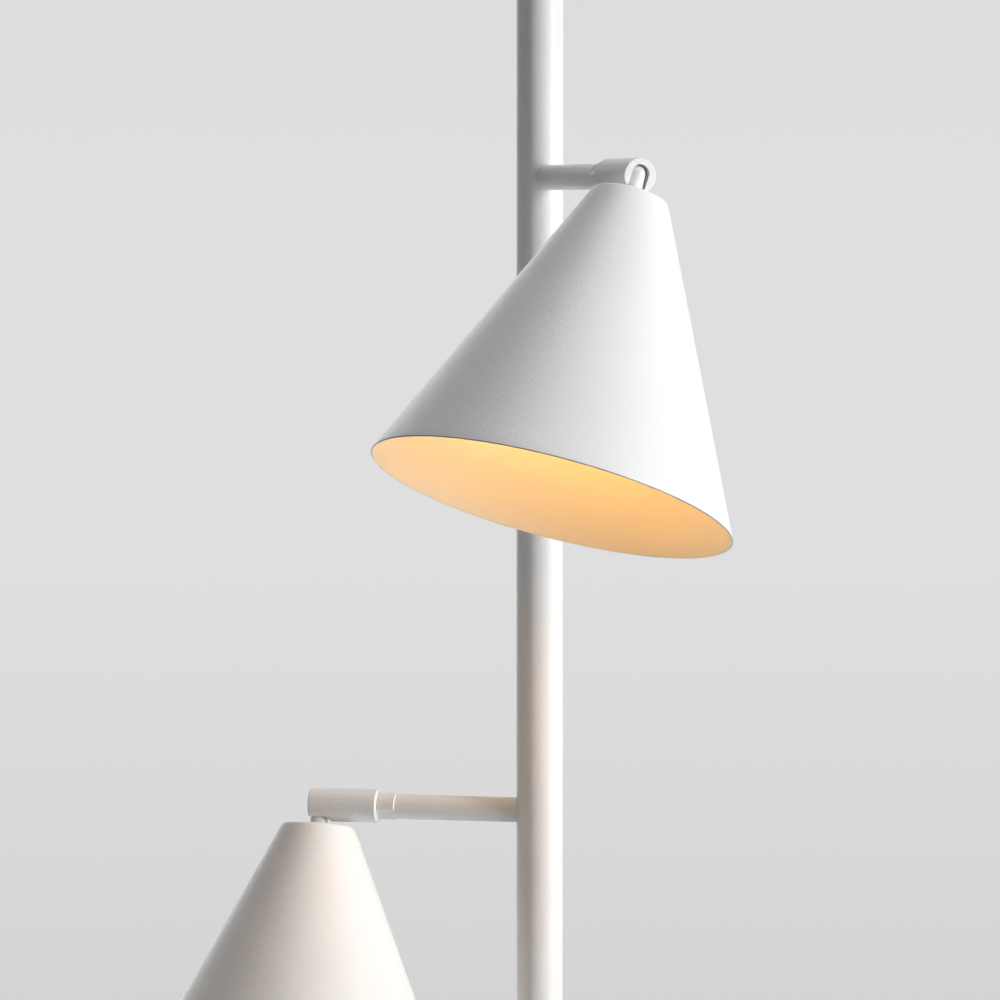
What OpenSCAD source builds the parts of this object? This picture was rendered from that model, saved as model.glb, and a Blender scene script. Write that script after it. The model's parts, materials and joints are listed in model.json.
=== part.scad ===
// Tension pole lamp: a floor-to-ceiling pole with two short arms, each with a swivel barrel,
// a domed knuckle and a cone shade. The pole stands on a padded foot, and a sprung plunger in a
// telescopic extension holds it against the ceiling. Origin: centre of the floor pad's underside.

/* [Pole] */
// Outer diameter of the pole tubes
pole_d = 28; // [27:0.1:30]
// Wall of the pole tubes
pole_wall = 1.2; // [1:0.05:1.4]
// Length of the middle tube, which carries both arms
middle_tube_len = 800; // [780:1:1000]
// Length of the upper tube, whose open end takes the extension
upper_tube_len = 300; // [290:1:390]
// Length of the sleeves inside the tube joints
coupling_len = 70; // [40:1:80]
// Wall of the sleeves inside the tube joints
coupling_wall = 1.6; // [1:0.1:2.5]

/* [Foot] */
// Diameter of the foot cup
foot_d = 78; // [70:0.5:100]
// Height of the foot cup's top above the floor
foot_h = 20; // [16:0.5:26]
// Thickness of the rubber floor pad
pad_t = 4; // [3:0.1:5]
// How far the rubber pads stand out of their cups
pad_proud = 2; // [1:0.1:2.5]
// Width of the cup's rim round the pad
cup_lip = 2; // [1.5:0.1:4]
// Diameter of the foot screw's shank
foot_screw_d = 8; // [6:0.1:10]
// Length of the foot plug inside the lower tube
foot_plug_len = 26; // [20:0.5:30]
// Thickness of the plug's flange between the cup and the tube
foot_flange_t = 4; // [3:0.1:6]

/* [Height adjuster] */
// Height from floor to ceiling as installed
installed_h = 2440; // [2400:1:2500]
// Outer diameter of the extension tube
extension_d = 24; // [23:0.1:24.5]
// Wall of the extension tube
extension_wall = 1.2; // [1:0.05:1.4]
// Length of the extension tube
extension_len = 310; // [300:1:330]
// Length of the extension tube that stands out of the upper tube
extension_out = 134; // [94:1:154]
// Outer diameter of the clamp collar
clamp_d = 36; // [35:0.5:40]
// Height of the clamp collar's grip on each tube
clamp_grip = 12; // [10:0.5:16]
// Diameter of the clamp screw's shank
clamp_screw_d = 5; // [4:0.1:6]
// Diameter of the clamp screw's knob
clamp_knob_d = 16; // [12:0.5:20]
// Length of the clamp screw's knob
clamp_knob_len = 9; // [7:0.5:12]

/* [Ceiling plunger] */
// Outer diameter of the plunger tube
plunger_d = 18; // [16:0.1:18.5]
// Wall of the plunger tube
plunger_wall = 1.5; // [1.2:0.05:2]
// Length of the plunger tube
plunger_len = 88; // [84:0.5:92]
// Diameter of the ceiling cup
ceiling_cup_d = 56; // [48:0.5:70]
// Height of the ceiling cup
ceiling_cup_h = 20; // [17:0.5:24]
// How far the plunger tube stands out of the guide ring at rest
plunger_out = 33; // [33:0.5:38]
// Height of the guide ring's neck inside the extension tube
guide_h = 16; // [12:0.5:20]
// Thickness of the guide ring's flange
guide_flange_t = 3; // [2:0.1:4]
// Outer diameter of the tension spring
spring_d = 19; // [17:0.1:20]
// Diameter of the spring wire
spring_wire = 2; // [1.6:0.1:2.4]
// Turns of the spring
spring_turns = 16; // [10:1:20]
// Length of the spring at rest
spring_len = 125; // [110:1:135]

/* [Arms] */
// Distance from the middle tube's top down to the upper arm's axis
upper_arm_drop = 200; // [150:1:250]
// Distance between the two arms' axes
arm_spacing = 380; // [370:1:420]
// Direction of the upper arm round the pole
upper_azimuth = -66.7; // [-90:0.1:-45]
// Direction of the lower arm round the pole
lower_azimuth = 167.2; // [150:0.1:190]
// Outer diameter of the arm tube
arm_d = 15; // [14.8:0.1:15.6]
// Wall of the arm tube
arm_wall = 1.2; // [1:0.05:1.3]
// Distance from the pole's axis to the barrel's open end
arm_reach = 142; // [140:0.5:160]
// Diameter of the nipple that bolts the arm to the pole
nipple_d = 10; // [9:0.1:10.5]
// Bore of the nipple
nipple_bore = 7; // [6:0.1:7.2]
// Length of the threaded plug in the arm tube
arm_plug_len = 12; // [8:0.5:16]
// Diameter of the collar with the wrench flats
collar_d = 16; // [15.8:0.1:17]
// Length of the collar
collar_len = 10.8; // [9:0.1:13]
// Distance across the collar's wrench flats
collar_flats = 13.4; // [13.2:0.1:15]
// Length of the collar's spigot in the arm tube
collar_spigot_len = 10; // [6:0.5:14]

/* [Barrel] */
// Outer diameter of the barrel
barrel_d = 20.4; // [19.5:0.1:21]
// Length of the barrel
barrel_len = 42.5; // [40:0.5:48]
// Bore and slot width of the barrel
barrel_bore = 11; // [10.9:0.1:12]
// Thickness of the web that the swivel stud passes through
barrel_web = 5; // [4:0.1:6]
// How far the centre of the slot's round end lies behind the pivot
slot_back = 0.6; // [0.5:0.1:1]
// Depth below the barrel's axis at which the slot begins to flare
flare_depth = 6.8; // [6.5:0.1:7.1]
// Length of the flare at that depth, before its end slopes back at 45 degrees
flare_len = 9.8; // [9:0.1:10.4]
// Widening of the flare on each side, for each mm down
slot_flare = 1.05; // [0.9:0.05:1.2]
// Distance from the open end to the pivot
pivot_inset = 5.6; // [5.4:0.1:6.3]
// Height of the pivot and of the bore's raised roof above the barrel's axis
pivot_rise = 1.1; // [0.3:0.1:1.4]
// Diameter of the swivel stud
stud_d = 7; // [6.6:0.1:7.2]
// Bore of the swivel stud
stud_bore = 4.6; // [4.2:0.1:4.8]
// Distance across the flats of the swivel nut
swivel_nut_af = 9.2; // [9:0.1:9.3]
// Thickness of the swivel nut
swivel_nut_t = 4; // [3:0.1:5]

/* [Knuckle] */
// Diameter of the knuckle's round bar and of its domed end
knuckle_d = 10.5; // [9.8:0.1:10.6]
// Diameter of the knuckle's threaded tail
tail_d = 6.2; // [5.8:0.1:6.4]
// Length of the knuckle's threaded tail
tail_len = 14; // [12:0.5:16]
// Bore through the knuckle
stem_bore = 4; // [3.7:0.1:4.2]
// Diameter of the pivot pins
pin_d = 3; // [2.5:0.1:3.2]
// Distance from the pivot to the shade's top
shade_drop = 13.6; // [13:0.1:15]

/* [Shade] */
// Diameter of the shade's top
shade_top_d = 43.7; // [42:0.1:48]
// Diameter of the shade's rim
shade_rim_d = 210.8; // [196:0.1:213]
// Height of the shade
shade_h = 183; // [165:0.5:190]
// Thickness of the shade's sheet
shade_wall = 1; // [0.8:0.05:1.4]
// Radius of the shade's top edge
shade_edge_r = 3; // [2:0.1:4]
// Roll of the upper shade about its arm as photographed
upper_roll = -19.8; // [-30:0.1:30]
// Outward tilt of the upper shade as photographed
upper_tilt = 8.4; // [-3:0.1:30]
// Roll of the lower shade about its arm as photographed
lower_roll = 12.2; // [-30:0.1:30]
// Outward tilt of the lower shade as photographed
lower_tilt = 2.1; // [-3:0.1:30]

/* [Lampholder and bulb] */
// Outer diameter of the lampholder
holder_d = 35; // [34:0.5:38]
// Length of the lampholder
holder_len = 44; // [42:0.5:48]
// Wall of the lampholder
holder_wall = 2.6; // [2:0.1:2.8]
// Diameter of the bulb's screw cap
bulb_cap_d = 26.4; // [26:0.1:26.6]
// Length of the bulb's screw cap
bulb_cap_len = 24; // [23:0.5:26]
// Wall of the metal screw shell
screw_shell_wall = 0.6; // [0.4:0.1:0.8]
// Diameter of the bulb's glass
bulb_d = 60; // [55:0.5:64]
// Length of the bulb with its cap
bulb_len = 108; // [100:0.5:112]
// Thickness of the bulb's glass
bulb_wall = 1; // [0.8:0.1:1.5]

/* [Leads] */
// Diameter of the lead that comes in at the foot
feed_d = 5.5; // [4.5:0.1:5.8]
// Diameter of each head's lead
lead_d = 3.4; // [2.8:0.1:3.5]
// Height of the cord's inlet
inlet_z = 62; // [58:0.5:90]
// Diameter of the inlet's hole in the tube
inlet_hole_d = 10; // [9.5:0.1:11]
// Distance from the lower arm's axis down to the junction block's centre
junction_drop = 77; // [70:1:110]

/* [Hidden] */
$fn = 64;

// Clearances and small overlaps of cutters
fit = 0.03;
run = 0.05;
slide_gap = 0.1;
cut = 1;

// Colours
coat = "#f1f0ec";
steel = "silver";
brass = "#b9974a";
rubber = "#2c2c2c";
phenolic = "#1e1c1b";
plastic = "#e6e4de";

// Pole
pole_r = pole_d / 2;
pole_in_r = pole_r - pole_wall;
foot_flange_top = foot_h + foot_flange_t;
nipple_r = nipple_d / 2;

// Cups and pads
cup_edge_h = 3;
cup_top_gap = 2;
ceiling_cup_bottom = installed_h - ceiling_cup_h;

// Height adjuster, from the ceiling down
guide_top = ceiling_cup_bottom - plunger_out;
extension_top = guide_top - guide_flange_t;
extension_bottom = extension_top - extension_len;
extension_r = extension_d / 2;
extension_in_r = extension_r - extension_wall;
plunger_r = plunger_d / 2;
plunger_bottom = ceiling_cup_bottom - plunger_len;
plunger_collar_t = 5;
spring_top = plunger_bottom - plunger_collar_t;
spring_bottom = spring_top - spring_len;
spring_seat_t = 8;

// Tubes, from the extension down: the lower tube takes up the rest of the height
upper_tube_top = extension_top - extension_out;
middle_tube_top = upper_tube_top - upper_tube_len;
lower_tube_top = middle_tube_top - middle_tube_len;
clamp_h = 2 * clamp_grip;
clamp_bottom = upper_tube_top - clamp_grip;
clamp_screw_z = upper_tube_top + clamp_grip / 2;
clamp_screw_azimuth = 25;

// Each head is described by its height, direction, roll and tilt
upper_arm_z = middle_tube_top - upper_arm_drop;
lower_arm_z = upper_arm_z - arm_spacing;
upper = [upper_arm_z, upper_azimuth, upper_roll, upper_tilt];
lower = [lower_arm_z, lower_azimuth, lower_roll, lower_tilt];

// Arms: distances from the pole's axis
arm_r = arm_d / 2;
arm_in_r = arm_r - arm_wall;
washer_t = 0.4;
barrel_s = arm_reach - barrel_len;
collar_s = barrel_s - run - washer_t - collar_len;
pivot_s = arm_reach - pivot_inset;
nut_t = 3.5;
nut_af = 13;
saddle_d = 16;
saddle_s = 9;
nipple_in_s = saddle_s - nut_t - 1;
plug_s = pole_r + 0.2;
nipple_out_s = plug_s + arm_plug_len - 2;
wave_washer_t = 0.8;
stud_in_s = collar_s - collar_spigot_len + 2;
wave_s = barrel_s + barrel_web + run;
swivel_nut_s = wave_s + wave_washer_t;
stud_out_s = swivel_nut_s + swivel_nut_t + 2;
slot_centre_s = pivot_s - slot_back;
roof_len = pivot_inset + knuckle_d / 2 + 1;
pin_in = 2.5;
pin_out = 8.6;

// Shade, measured down from the pivot
shade_half_angle = atan((shade_rim_d - shade_top_d) / 2 / shade_h);
edge_turn = 90 - shade_half_angle;
shade_nut_t = 4;
shade_nut_af = 10;
shade_nut_z = shade_drop + shade_wall;
holder_z = shade_nut_z + shade_nut_t + 0.5;
holder_neck_r = 9;
holder_shoulder = 8;
holder_end_z = holder_z + holder_len;
shell_gap = 0.2;
screw_shell_r = bulb_cap_d / 2 + shell_gap + screw_shell_wall;
bulb_cap_z = holder_end_z - bulb_cap_len + 2;
bulb_contact_len = 3;
bulb_top_z = bulb_cap_z - bulb_contact_len;
bulb_centre_z = bulb_top_z + bulb_len - bulb_d / 2;
bulb_neck_r = bulb_cap_d / 2 - 0.6;
bulb_neck_z = bulb_cap_z + bulb_cap_len;

// Leads
grommet_flange = 1.8;
feed_in_y = pole_in_r - grommet_flange - 0.4;
junction_z = lower_arm_z - junction_drop;
junction_w = 12;
junction_t = 9;
junction_h = 22;

function unit(v) = v / norm(v);
function arm_dir(azimuth) = [cos(azimuth), sin(azimuth), 0];
function arm_side(azimuth) = arm_dir(azimuth + 90);
function on_arm(head, s, dz) = s * arm_dir(head[1]) + [0, 0, head[0] + dz];

// Points of an arc round c, from angle a0 to angle a1
function arc(c, r, a0, a1, n = 8) =
  [for (i = [0 : n]) c + r * [cos(a0 + (a1 - a0) * i / n), sin(a0 + (a1 - a0) * i / n)]];

// ---- placing ----

module at_arm(head) {
  translate([0, 0, head[0]])
    rotate([0, 0, head[1]])
      children();
}

module at_barrel(head) {
  at_arm(head)
    rotate([head[2], 0, 0])
      children();
}

module at_shade(head) {
  at_barrel(head)
    translate([pivot_s, 0, pivot_rise])
      rotate([0, -head[3], 0])
        children();
}

// Stands a child along the arm, with its base at distance s from the pole's axis
module along(s) {
  translate([s, 0, 0])
    rotate([0, 90, 0])
      children();
}

module both_arms() {
  at_arm(upper) children();
  at_arm(lower) children();
}

// ---- basic shapes ----

module tube(r, inner_r, z0, z1) {
  translate([0, 0, z0])
    difference() {
      cylinder(r = r, h = z1 - z0);
      translate([0, 0, -cut]) cylinder(r = inner_r, h = z1 - z0 + 2 * cut);
    }
}

module ring(r, inner_r, h) {
  tube(r, inner_r, 0, h);
}

module hex_nut(across_flats, bore_r, h) {
  difference() {
    cylinder(d = across_flats / cos(30), h = h, $fn = 6);
    translate([0, 0, -cut]) cylinder(r = bore_r, h = h + 2 * cut);
  }
}

// A closed skin over a row of rings, each with the same number of points
module swept(rings) {
  sides = len(rings[0]);
  last = len(rings) - 1;
  walls = [
    for (i = [0 : last - 1], k = [0 : sides - 1])
      let (a = i * sides + k, b = i * sides + (k + 1) % sides)
      each [[a, a + sides, b], [b, a + sides, b + sides]]
  ];
  start = [for (k = [0 : sides - 1]) k];
  finish = [for (k = [sides - 1 : -1 : 0]) last * sides + k];
  polyhedron(points = [for (ring = rings) each ring], faces = concat([start], walls, [finish]));
}

// A round lead along a list of points; across is a direction that it never runs along
module lead(points, d, across) {
  sides = 10;
  last = len(points) - 1;
  swept([
    for (i = [0 : last])
      let (
        before = points[max(i, 1)] - points[max(i, 1) - 1],
        after = points[min(i, last - 1) + 1] - points[min(i, last - 1)],
        ahead = unit(unit(before) + unit(after)),
        u = unit(across - (across * ahead) * ahead),
        v = cross(u, ahead)
      )
      [for (k = [0 : sides - 1])
        points[i] + d / 2 * (u * cos(360 * k / sides) + v * sin(360 * k / sides))]
  ]);
}

// A round cup that opens downwards over a pad, with its base at z = 0
module cup(d, h, pad_depth, top_r) {
  rise = h - cup_edge_h - cup_top_gap;
  rotate_extrude()
    polygon(concat(
      [[0, pad_depth], [d / 2 - cup_lip, pad_depth], [d / 2 - cup_lip, 0], [d / 2, 0]],
      [for (i = [0 : 10])
        [top_r + (d / 2 - top_r) * cos(9 * i), cup_edge_h + rise * sin(9 * i)]],
      [[top_r, h], [0, h]]
    ));
}

module pad(d) {
  bevel = 0.8;
  rotate_extrude()
    polygon([[0, 0], [d / 2 - bevel, 0], [d / 2, bevel], [d / 2, pad_t], [0, pad_t]]);
}

// ---- foot and pole ----

module floor_pad() {
  color(rubber) pad(foot_d - 2 * cup_lip - 2 * fit);
}

module foot_cup() {
  color(coat)
    difference() {
      translate([0, 0, pad_proud])
        cup(foot_d, foot_h - pad_proud, pad_t - pad_proud, pole_r);
      cylinder(r = foot_screw_d / 2 + fit, h = foot_h + cut);
      translate([0, 0, pad_t])
        cylinder(r1 = foot_screw_d + fit, r2 = foot_screw_d / 2, h = foot_screw_d / 2);
    }
}

module foot_screw() {
  color(steel)
    translate([0, 0, pad_t]) {
      cylinder(r1 = foot_screw_d - fit, r2 = foot_screw_d / 2 - fit, h = foot_screw_d / 2 - fit);
      cylinder(d = foot_screw_d, h = foot_flange_top + foot_plug_len - pad_t - 4);
    }
}

module foot_plug() {
  color(steel)
    difference() {
      union() {
        translate([0, 0, foot_h]) cylinder(r = pole_r, h = foot_flange_t);
        translate([0, 0, foot_h]) cylinder(r = pole_in_r - fit, h = foot_flange_t + foot_plug_len);
      }
      cylinder(r = foot_screw_d / 2 + fit, h = inlet_z);
    }
}

module lower_tube() {
  color(coat)
    difference() {
      tube(pole_r, pole_in_r, foot_flange_top, lower_tube_top);
      translate([0, 0, inlet_z]) rotate([-90, 0, 0]) cylinder(d = inlet_hole_d, h = pole_d);
    }
}

module lower_coupling() {
  color(steel)
    tube(pole_in_r - fit, pole_in_r - fit - coupling_wall,
      lower_tube_top - coupling_len / 2, lower_tube_top + coupling_len / 2);
}

module middle_tube() {
  color(coat)
    difference() {
      tube(pole_r, pole_in_r, lower_tube_top, middle_tube_top);
      both_arms() along(0) cylinder(r = nipple_r + slide_gap, h = pole_d);
    }
}

module upper_coupling() {
  color(steel)
    tube(pole_in_r - fit, pole_in_r - fit - coupling_wall,
      middle_tube_top - coupling_len / 2, middle_tube_top + coupling_len / 2);
}

module upper_tube() {
  color(coat) tube(pole_r, pole_in_r, middle_tube_top, upper_tube_top);
}

// The rubber ring that lines the cord's hole, flanged outside the tube
module cord_grommet() {
  flange = grommet_flange;
  color(rubber)
    translate([0, 0, inlet_z])
      difference() {
        rotate([-90, 0, 0]) {
          cylinder(d = inlet_hole_d - 2 * fit, h = pole_r + flange);
          cylinder(d = inlet_hole_d + 2 * flange, h = pole_r + flange);
        }
        rotate([-90, 0, 0]) cylinder(d = feed_d + 2 * slide_gap, h = pole_d);
        difference() {
          translate([0, 0, -inlet_hole_d]) cylinder(r = pole_r + fit, h = 2 * inlet_hole_d);
          rotate([-90, 0, 0]) cylinder(d = inlet_hole_d - 2 * fit, h = pole_d);
        }
        translate([0, 0, -inlet_hole_d]) cylinder(r = pole_in_r - flange, h = 2 * inlet_hole_d);
      }
}

module feed_lead() {
  color(plastic)
    lead([
      [0, feed_in_y, inlet_z],
      [0, 6, inlet_z],
      [0, 1, inlet_z + 4],
      [0, 0, inlet_z + 10],
      [0, 0, junction_z - junction_h / 2]
    ], feed_d, [1, 0, 0]);
}

module junction_block() {
  color(plastic)
    translate([0, 0, junction_z])
      rotate([0, 0, lower_azimuth])
        cube([junction_w, junction_t, junction_h], center = true);
}

// ---- height adjuster ----

module clamp_collar() {
  color(coat)
    difference() {
      translate([0, 0, clamp_bottom]) cylinder(d = clamp_d, h = clamp_h);
      translate([0, 0, clamp_bottom - cut]) cylinder(r = pole_r + fit, h = clamp_grip + cut);
      cylinder(r = extension_r + slide_gap, h = installed_h);
      translate([0, 0, clamp_screw_z])
        rotate([0, 0, clamp_screw_azimuth])
          along(0) cylinder(r = clamp_screw_d / 2 + run, h = clamp_d);
    }
}

module clamp_screw() {
  grips = 12;
  shank_end = extension_r + slide_gap;
  knob_s = clamp_d / 2 + 1;
  color(steel)
    translate([0, 0, clamp_screw_z])
      rotate([0, 0, clamp_screw_azimuth]) {
        along(shank_end) cylinder(d = clamp_screw_d, h = knob_s + 1 - shank_end);
        along(knob_s)
          difference() {
            cylinder(d = clamp_knob_d, h = clamp_knob_len);
            for (i = [0 : grips - 1])
              rotate([0, 0, i * 360 / grips])
                translate([clamp_knob_d / 2 + 0.6, 0, -cut])
                  cylinder(d = 2.6, h = clamp_knob_len + 2 * cut);
          }
      }
}

module extension_tube() {
  color(coat) tube(extension_r, extension_in_r, extension_bottom, extension_top);
}

module spring_seat() {
  color(steel)
    translate([0, 0, spring_bottom - spring_seat_t])
      ring(extension_in_r - fit, extension_in_r / 2, spring_seat_t);
}

module guide_ring() {
  color(plastic)
    difference() {
      union() {
        translate([0, 0, extension_top]) cylinder(r = extension_r, h = guide_flange_t);
        translate([0, 0, extension_top - guide_h])
          cylinder(r = extension_in_r - fit, h = guide_h + guide_flange_t);
      }
      cylinder(r = plunger_r + run, h = installed_h);
    }
}

// ---- ceiling plunger ----

module plunger_tube() {
  color(steel)
    tube(plunger_r, plunger_r - plunger_wall, plunger_bottom, ceiling_cup_bottom);
}

// The collar that the spring pushes and that keeps the plunger in
module plunger_collar() {
  inner_r = plunger_r - plunger_wall - fit;
  color(brass)
    difference() {
      union() {
        translate([0, 0, spring_top]) cylinder(r = extension_in_r - 2 * slide_gap, h = plunger_collar_t);
        translate([0, 0, spring_top]) cylinder(r = inner_r, h = 2 * plunger_collar_t);
      }
      translate([0, 0, spring_top - cut]) cylinder(r = inner_r / 2, h = 4 * plunger_collar_t);
    }
}

module ceiling_cup() {
  spigot = 12;
  pad_depth = pad_t - pad_proud;
  cup_h = ceiling_cup_h - pad_proud;
  color(coat) {
    translate([0, 0, installed_h - pad_proud])
      mirror([0, 0, 1])
        cup(ceiling_cup_d, cup_h, pad_depth, plunger_r);
    translate([0, 0, ceiling_cup_bottom - spigot])
      cylinder(r = plunger_r - plunger_wall - fit, h = spigot + cut);
  }
}

module ceiling_pad() {
  color(rubber)
    translate([0, 0, installed_h])
      mirror([0, 0, 1])
        pad(ceiling_cup_d - 2 * cup_lip - 2 * fit);
}

// The wire runs as one helix, with its last half turns flat on the seat and the collar
module tension_spring() {
  sides = 6;
  rings_a_turn = 8;
  rings = spring_turns * rings_a_turn;
  coil_r = (spring_d - spring_wire) / 2;
  wire_r = spring_wire / 2;
  rise = spring_len - spring_wire - 0.4;
  flat = rings_a_turn / 2;
  function height(i) = rise * max(0, min(1, (i - flat) / (rings - 2 * flat)));
  function wire_ring(i) = [
    for (k = [0 : sides - 1])
      let (
        turn = 360 * i / rings_a_turn,
        side = 360 * k / sides,
        r = coil_r + wire_r * cos(side)
      )
      [r * cos(turn), r * sin(turn), height(i) + wire_r * sin(side)]
  ];
  color(steel)
    translate([0, 0, spring_bottom + wire_r + 0.2])
      swept([for (i = [0 : rings]) wire_ring(i)]);
}

// ---- fixings that both arms share ----

module arm_nipples() {
  color(steel)
    both_arms()
      along(nipple_in_s) ring(nipple_r, nipple_bore / 2, nipple_out_s - nipple_in_s);
}

module arm_nuts() {
  color(steel)
    both_arms()
      along(saddle_s - nut_t) hex_nut(nut_af, nipple_r + fit, nut_t);
}

// Curved washers that fit the inside of the pole
module arm_saddles() {
  color(steel)
    both_arms()
      intersection() {
        along(saddle_s) ring(saddle_d / 2, nipple_r + fit, pole_r);
        translate([0, 0, -saddle_d]) cylinder(r = pole_in_r - fit, h = 2 * saddle_d);
      }
}

module arm_plugs() {
  color(steel)
    both_arms()
      along(plug_s) ring(arm_in_r - fit, nipple_r + fit, arm_plug_len);
}

module swivel_studs() {
  color(steel)
    both_arms()
      along(stud_in_s) ring(stud_d / 2, stud_bore / 2, stud_out_s - stud_in_s);
}

module swivel_nuts() {
  color(steel)
    both_arms()
      along(swivel_nut_s) hex_nut(swivel_nut_af, stud_d / 2 + fit, swivel_nut_t);
}

// A thin washer behind each barrel and one under each nut
module swivel_washers() {
  color(plastic)
    both_arms() {
      along(collar_s + collar_len) ring(collar_d / 2 - 0.6, stud_d / 2 + fit, washer_t);
      along(wave_s) ring(barrel_bore / 2 - 0.4, stud_d / 2 + fit, wave_washer_t);
    }
}

// ---- one head ----

module arm_tube(head) {
  color(coat)
    at_arm(head)
      difference() {
        along(0) ring(arm_r, arm_in_r, collar_s);
        translate([0, 0, -arm_d]) cylinder(r = pole_r + fit, h = 2 * arm_d);
      }
}

module collar(head) {
  flat_azimuth = 50;
  bevel = 0.6;
  color(coat)
    at_arm(head)
      difference() {
        union() {
          along(collar_s - collar_spigot_len)
            cylinder(r = arm_in_r - fit, h = collar_spigot_len + cut);
          intersection() {
            along(collar_s)
              rotate_extrude()
                polygon([
                  [0, 0], [collar_d / 2 - bevel, 0], [collar_d / 2, bevel],
                  [collar_d / 2, collar_len - bevel], [collar_d / 2 - bevel, collar_len],
                  [0, collar_len]
                ]);
            rotate([flat_azimuth, 0, 0])
              translate([collar_s - cut, -collar_d, -collar_flats / 2])
                cube([collar_len + 2 * cut, 2 * collar_d, collar_flats]);
          }
        }
        along(0) cylinder(r = stud_d / 2 + fit, h = arm_reach);
      }
}

// The lead from the pole through the arm; start is its way up inside the pole
module arm_lead(head, start) {
  color(plastic)
    lead(concat(start, [
      on_arm(head, 0.5, -7),
      on_arm(head, 3, -2),
      on_arm(head, 7, 0),
      on_arm(head, stud_out_s - 0.5, 0)
    ]), lead_d, arm_side(head[1]));
}

// The slot's cutter: a straight channel with a raised roof and a round end, and a flare that
// widens downwards and whose end slopes back
module slot_cutter() {
  half = barrel_bore / 2;
  low = barrel_d / 2 + cut;
  top = flare_depth - cut;
  mouth = arm_reach + cut;
  function wide(depth) = half + (depth - flare_depth) * slot_flare;
  function start(depth) = arm_reach - flare_len - (depth - flare_depth);
  translate([0, 0, pivot_rise])
    along(arm_reach - roof_len) cylinder(r = half, h = roof_len + cut);
  translate([slot_centre_s, 0, -low]) cylinder(r = half, h = low);
  translate([slot_centre_s, -half, -low])
    cube([mouth - slot_centre_s, 2 * half, low + pivot_rise]);
  intersection() {
    translate([barrel_s, 0, 0])
      rotate([90, 0, 90])
        linear_extrude(barrel_len + cut)
          polygon([[-wide(low), -low], [wide(low), -low], [wide(top), -top], [-wide(top), -top]]);
    rotate([90, 0, 0])
      linear_extrude(4 * low, center = true)
        polygon([
          [start(low + cut), -low - cut], [mouth + cut, -low - cut],
          [mouth + cut, cut - top], [start(top - cut), cut - top]
        ]);
  }
}

module barrel(head) {
  end_round = 0.8;
  back_bevel = 0.9;
  r = barrel_d / 2;
  color(coat)
    at_barrel(head)
      difference() {
        along(barrel_s)
          rotate_extrude()
            polygon(concat(
              [[0, 0], [r - back_bevel, 0], [r, back_bevel]],
              arc([r - end_round, barrel_len - end_round], end_round, 0, 90, 4),
              [[0, barrel_len]]
            ));
        along(barrel_s - cut) cylinder(r = stud_d / 2 + run, h = barrel_len);
        along(barrel_s + barrel_web) cylinder(d = barrel_bore, h = barrel_len);
        slot_cutter();
        for (side = [-1, 1])
          translate([pivot_s, 0, pivot_rise])
            rotate([90 * side, 0, 0])
              translate([0, 0, pin_in]) cylinder(r = pin_d / 2 + fit, h = pin_out - pin_in);
      }
}

module pivot_pins(head) {
  color(steel)
    at_barrel(head)
      for (side = [-1, 1])
        translate([pivot_s, 0, pivot_rise])
          rotate([90 * side, 0, 0])
            translate([0, 0, pin_in + slide_gap])
              cylinder(d = pin_d, h = pin_out - pin_in - 2 * slide_gap);
}

module barrel_lead(head) {
  gap = 0.4;
  start_s = stud_out_s - 0.2;
  color(plastic)
    at_barrel(head)
      along(start_s) cylinder(d = lead_d, h = pivot_s - knuckle_d / 2 - gap - start_s);
}

module knuckle(head) {
  color(coat)
    at_shade(head)
      difference() {
        union() {
          sphere(d = knuckle_d);
          translate([0, 0, -shade_drop]) cylinder(d = knuckle_d, h = shade_drop);
          translate([0, 0, -shade_drop - tail_len]) cylinder(d = tail_d, h = tail_len + cut);
        }
        translate([0, 0, -shade_drop - tail_len - cut])
          cylinder(d = stem_bore, h = shade_drop + tail_len + cut);
        sphere(d = stem_bore);
        rotate([0, -90, 0]) cylinder(d = stem_bore, h = knuckle_d);
        for (side = [-1, 1])
          rotate([90 * side, 0, 0])
            translate([0, 0, pin_in]) cylinder(r = pin_d / 2 + run, h = knuckle_d);
      }
}

module stem_lead(head) {
  color(plastic)
    at_shade(head)
      lead([
        [-knuckle_d / 2 + 0.6, 0, 0],
        [-1.5, 0, 0],
        [0, 0, -1.5],
        [0, 0, -shade_drop - tail_len - 1]
      ], lead_d, [0, 1, 0]);
}

// Half of the shade's section: a flat top, a rounded edge and a straight side
function shade_line(inset) =
  let (
    top_z = shade_drop + inset,
    edge_r = shade_edge_r - inset,
    side_shift = inset / cos(shade_half_angle),
    top_r = shade_top_d / 2 - side_shift + inset * tan(shade_half_angle),
    rim_r = shade_rim_d / 2 - side_shift,
    edge_in = edge_r * tan(edge_turn / 2)
  )
  concat(
    arc([top_r - edge_in, -(top_z + edge_r)], edge_r, 90, shade_half_angle),
    [[rim_r, -(shade_drop + shade_h)]]
  );

module shade(head) {
  hole_r = tail_d / 2 + fit;
  outer = shade_line(0);
  inner = shade_line(shade_wall);
  color(coat)
    at_shade(head)
      rotate_extrude($fn = 96)
        polygon(concat(
          [[hole_r, -shade_drop]],
          outer,
          [for (i = [len(inner) - 1 : -1 : 0]) inner[i]],
          [[hole_r, -shade_drop - shade_wall]]
        ));
}

module shade_nut(head) {
  color(steel)
    at_shade(head)
      translate([0, 0, -shade_nut_z - shade_nut_t])
        hex_nut(shade_nut_af, tail_d / 2 + fit, shade_nut_t);
}

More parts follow.
